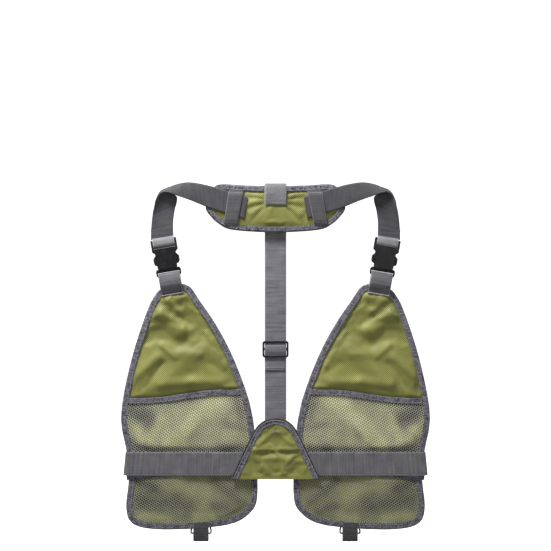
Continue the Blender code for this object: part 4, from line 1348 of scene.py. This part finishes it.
def make_pockets():
    chest = pouch("left_chest_pocket", lambda z: 17.0 - 9.5 * np.clip((z - 158) / 66, 0, 1) ** 1.2, 61.0,
                  puff=1.2, corner=8.0, pitch=3.6)
    pair("chest_pouch", chest, GREEN, "ripstop", PANEL, ["{}_chest_pocket"])
    cargo = pouch("left_cargo_pocket", lambda z: 29.6 - 5.0 * np.clip((z - 40) / 18, 0, 1), 65.0,
                  puff=1.0, corner=12.0, pitch=4.4)
    # Nothing stands out behind the zip.
    flat = (np.abs(cargo.points[:, 2] - 22 * MM) < 11 * MM) & (cargo.points[:, 1] > 24 * MM)
    cargo.points[flat, 1] = np.minimum(cargo.points[flat, 1], 30.9 * MM)
    pair("cargo_pouch", cargo, GREEN, "ripstop", PANEL, ["{}_cargo_pocket"])

    (x0, _, foot), (x1, _, top) = box_mm("left_chest_flap")
    rows = [(7.8, top), (9.1, top - 3), (11.1, top - 10), (13.4, top - 22), (14.9, foot + 6), (15.1, foot)]
    bow = [(0, 0.2, 0), (0, 0.8, 0), (0, 1.4, 0), (0, 1.9, -0.4), (0, 2.0, -1.2), (0, 1.7, -2.0)]
    flap = ruled([(x0, *row) for row in rows], [(x1, *row) for row in rows], bow, thick=1.3 * MM,
                 pitch=2.5 * MM, rows=33, wave=0.35 * MM, seed=67.0)
    pair("chest_flap_cloth", flap, GREEN, "ripstop", "{}_flap", ["{}_chest_flap"])
    side = [(y + 0.05 * index, z) for index, (y, z) in enumerate(rows[1:])]
    edge = [(x0 + 1.0, *row) for row in side]
    for share in np.linspace(0, 1, 9)[1:-1]:
        bulge = 4 * share * (1 - share)
        edge.append((x0 + share * (x1 - x0), rows[-1][0] + 1.7 * bulge, foot - 2.0 * bulge))
    edge += [(x1 - 1.0, *row) for row in side[::-1]]
    path = resample(curve_rows(np.array(edge), 6) * MM, 1.6 * MM)
    pair("chest_flap_edge_tape", tube(path, 1.7 * MM), BINDING_CLOTH, "binding", "{}_flap")

    low, high = box_mm("left_zip_tape")
    _, y, level = (low + high) / 2
    line = mm([(x, y, level) for x in np.linspace(low[0], high[0], 30)])
    tape = ribbon(line, (0, 0, 1), 14 * MM, 1.1 * MM, wave=0.1 * MM, seed=71.0)
    pair("zip_tape_cloth", tape, ZIP_TAPE, "zip_tape", PANEL, ["{}_zip_tape"])
    teeth = []
    for index, x in enumerate(np.arange(low[0] + 4, high[0] - 4, 1.15)):
        z = level + (0.55 if index % 2 else -0.55)
        rings = [mm([(x + sx * 0.36 * grow, y + dy, z + sz * grow)
                     for sx, sz in ((-1, -1), (1, -1), (1, 1), (-1, 1))])
                 for dy, grow in ((0.45, 1.0), (0.95, 1.0), (1.2, 0.7))]
        teeth.append(sweep(rings, [0, 1, 2, 3], [0] * 5))
    pair("zip_teeth", join(teeth), PLASTIC, "plastic", PANEL, smooth=40)
    moulded_pair("zip_runner", "zip_slider", "metal", "{}_zip", METAL, voxel=0.35 * MM)
    moulded_pair("zip_pull", "zip_puller", "plastic", "{}_puller", voxel=0.3 * MM, rounds=2)


def make_closure():
    low, high = box_mm("left_closure_strap")
    level = (low[2] + high[2]) / 2 * MM
    path = [(-70, 7.4), (-62, 7.5), (-53, 8.0), (-46, 10.4), (-42.0, 13.4), (-37.8, 16.2), (-34.6, 15.2),
            (-34.2, 11.2), (-36.4, 8.2), (-41.5, 8.6), (-46, 7.0)]
    fine = curve_rows(np.array(path), 8) * MM
    centres = resample(np.column_stack([fine, np.full(len(fine), level)]), 1.3 * MM)
    # The strap's lower layer would stand in the housing, so only the first part of the path is made.
    shown = int(len(centres) * 0.42)
    strap = ribbon(centres[:shown], (0, 0, 1), 25 * MM, 1.5 * MM, wave=0.15 * MM, seed=75.0)
    pair("closure_webbing", strap, NARROW, "webbing", PANEL, ["{}_closure_strap"])
    moulded("left_closure_shell", "left_closure_housing", PLASTIC, "plastic", "left_closure")
    moulded("right_closure_plug", "right_closure_insert", PLASTIC, "plastic", "right_closure")


# ---------------------------------------------------------------- studio

def make_studio():
    # A round white room: a floor that curves up into a wall on every side.
    floor_z, radius, bend, height = -0.30, 3.4, 0.8, 3.6
    profile = [(0.0, floor_z), (radius - bend, floor_z)]
    profile += [(radius - bend + bend * math.sin(a), floor_z + bend - bend * math.cos(a))
                for a in np.linspace(0, math.pi / 2, 12)[1:]]
    profile += [(radius, height)]
    form = bmesh.new()
    line = [form.verts.new((r, 0.0, z)) for r, z in profile]
    edges = [form.edges.new(ends) for ends in zip(line, line[1:])]
    bmesh.ops.spin(form, geom=line + edges, cent=(0, 0, 0), axis=(0, 0, 1), dvec=(0, 0, 0),
                   angle=2 * math.pi, steps=64)
    bmesh.ops.remove_doubles(form, verts=form.verts, dist=MM)
    mesh = bpy.data.meshes.new("backdrop")
    form.to_mesh(mesh)
    form.free()
    mesh.shade_smooth()
    backdrop = put_in_scene("backdrop", mesh)
    plain = bpy.data.materials.new("studio_white")
    plain.use_nodes = True
    shader = plain.node_tree.nodes["Principled BSDF"]
    shader.inputs["Base Color"].default_value = (0.93, 0.93, 0.93, 1)
    shader.inputs["Roughness"].default_value = 0.9
    # The camera sees it overexposed, but it sends no extra light to the vest.
    seen = plain.node_tree.nodes.new("ShaderNodeLightPath")
    plain.node_tree.links.new(seen.outputs["Is Camera Ray"], shader.inputs["Emission Strength"])
    shader.inputs["Emission Color"].default_value = (0.9, 0.9, 0.9, 1)
    mesh.materials.append(plain)

    world = bpy.data.worlds.new("studio")
    bpy.context.scene.world = world
    world.use_nodes = True
    background = world.node_tree.nodes["Background"]
    background.inputs["Color"].default_value = (1, 1, 1, 1)
    background.inputs["Strength"].default_value = 0.22

    def soft_light(name, place_at, aim, size, power):
        data = bpy.data.lights.new(name, "AREA")
        data.shape = "DISK"
        data.size = size
        data.energy = power
        light = put_in_scene(name, data)
        light.location = place_at
        light.rotation_euler = (Vector(aim) - Vector(place_at)).to_track_quat("-Z", "Y").to_euler()
        return light

    middle = (0.0, 0.0, 0.2)
    key = soft_light("key", (-0.55, -0.7, 1.75), middle, 0.45, 62)
    soft_light("fill", (1.0, -2.0, 0.7), middle, 1.2, 6)
    soft_light("front", (-0.8, 1.9, 1.5), middle, 1.0, 30)
    # The key light passes the pale floor by, so that no light from below fills the folds.
    spared = bpy.data.collections.new("not_lit_by_key")
    spared.objects.link(backdrop)
    spared.collection_objects[0].light_linking.link_state = "EXCLUDE"
    key.light_linking.receiver_collection = spared
    bpy.context.scene.view_settings.view_transform = "Standard"

    camera = bpy.data.cameras.new("camera")
    camera.lens = 85
    camera.sensor_width = 36
    view = put_in_scene("camera", camera)
    # This much of the vest's own plane fills the frame's width.
    shown, plane, middle_height = 0.9643, -0.008, 0.330
    reach = shown * camera.lens / camera.sensor_width
    view.location = (0, plane - reach, middle_height)
    view.rotation_euler = (math.radians(90), 0, 0)
    bpy.context.scene.camera = view


make_panels()
make_mesh_pockets()
make_shoulders()
make_buckles()
make_belt()
make_patch()
make_centre()
make_pad()
make_hems()
make_pockets()
make_closure()
make_studio()
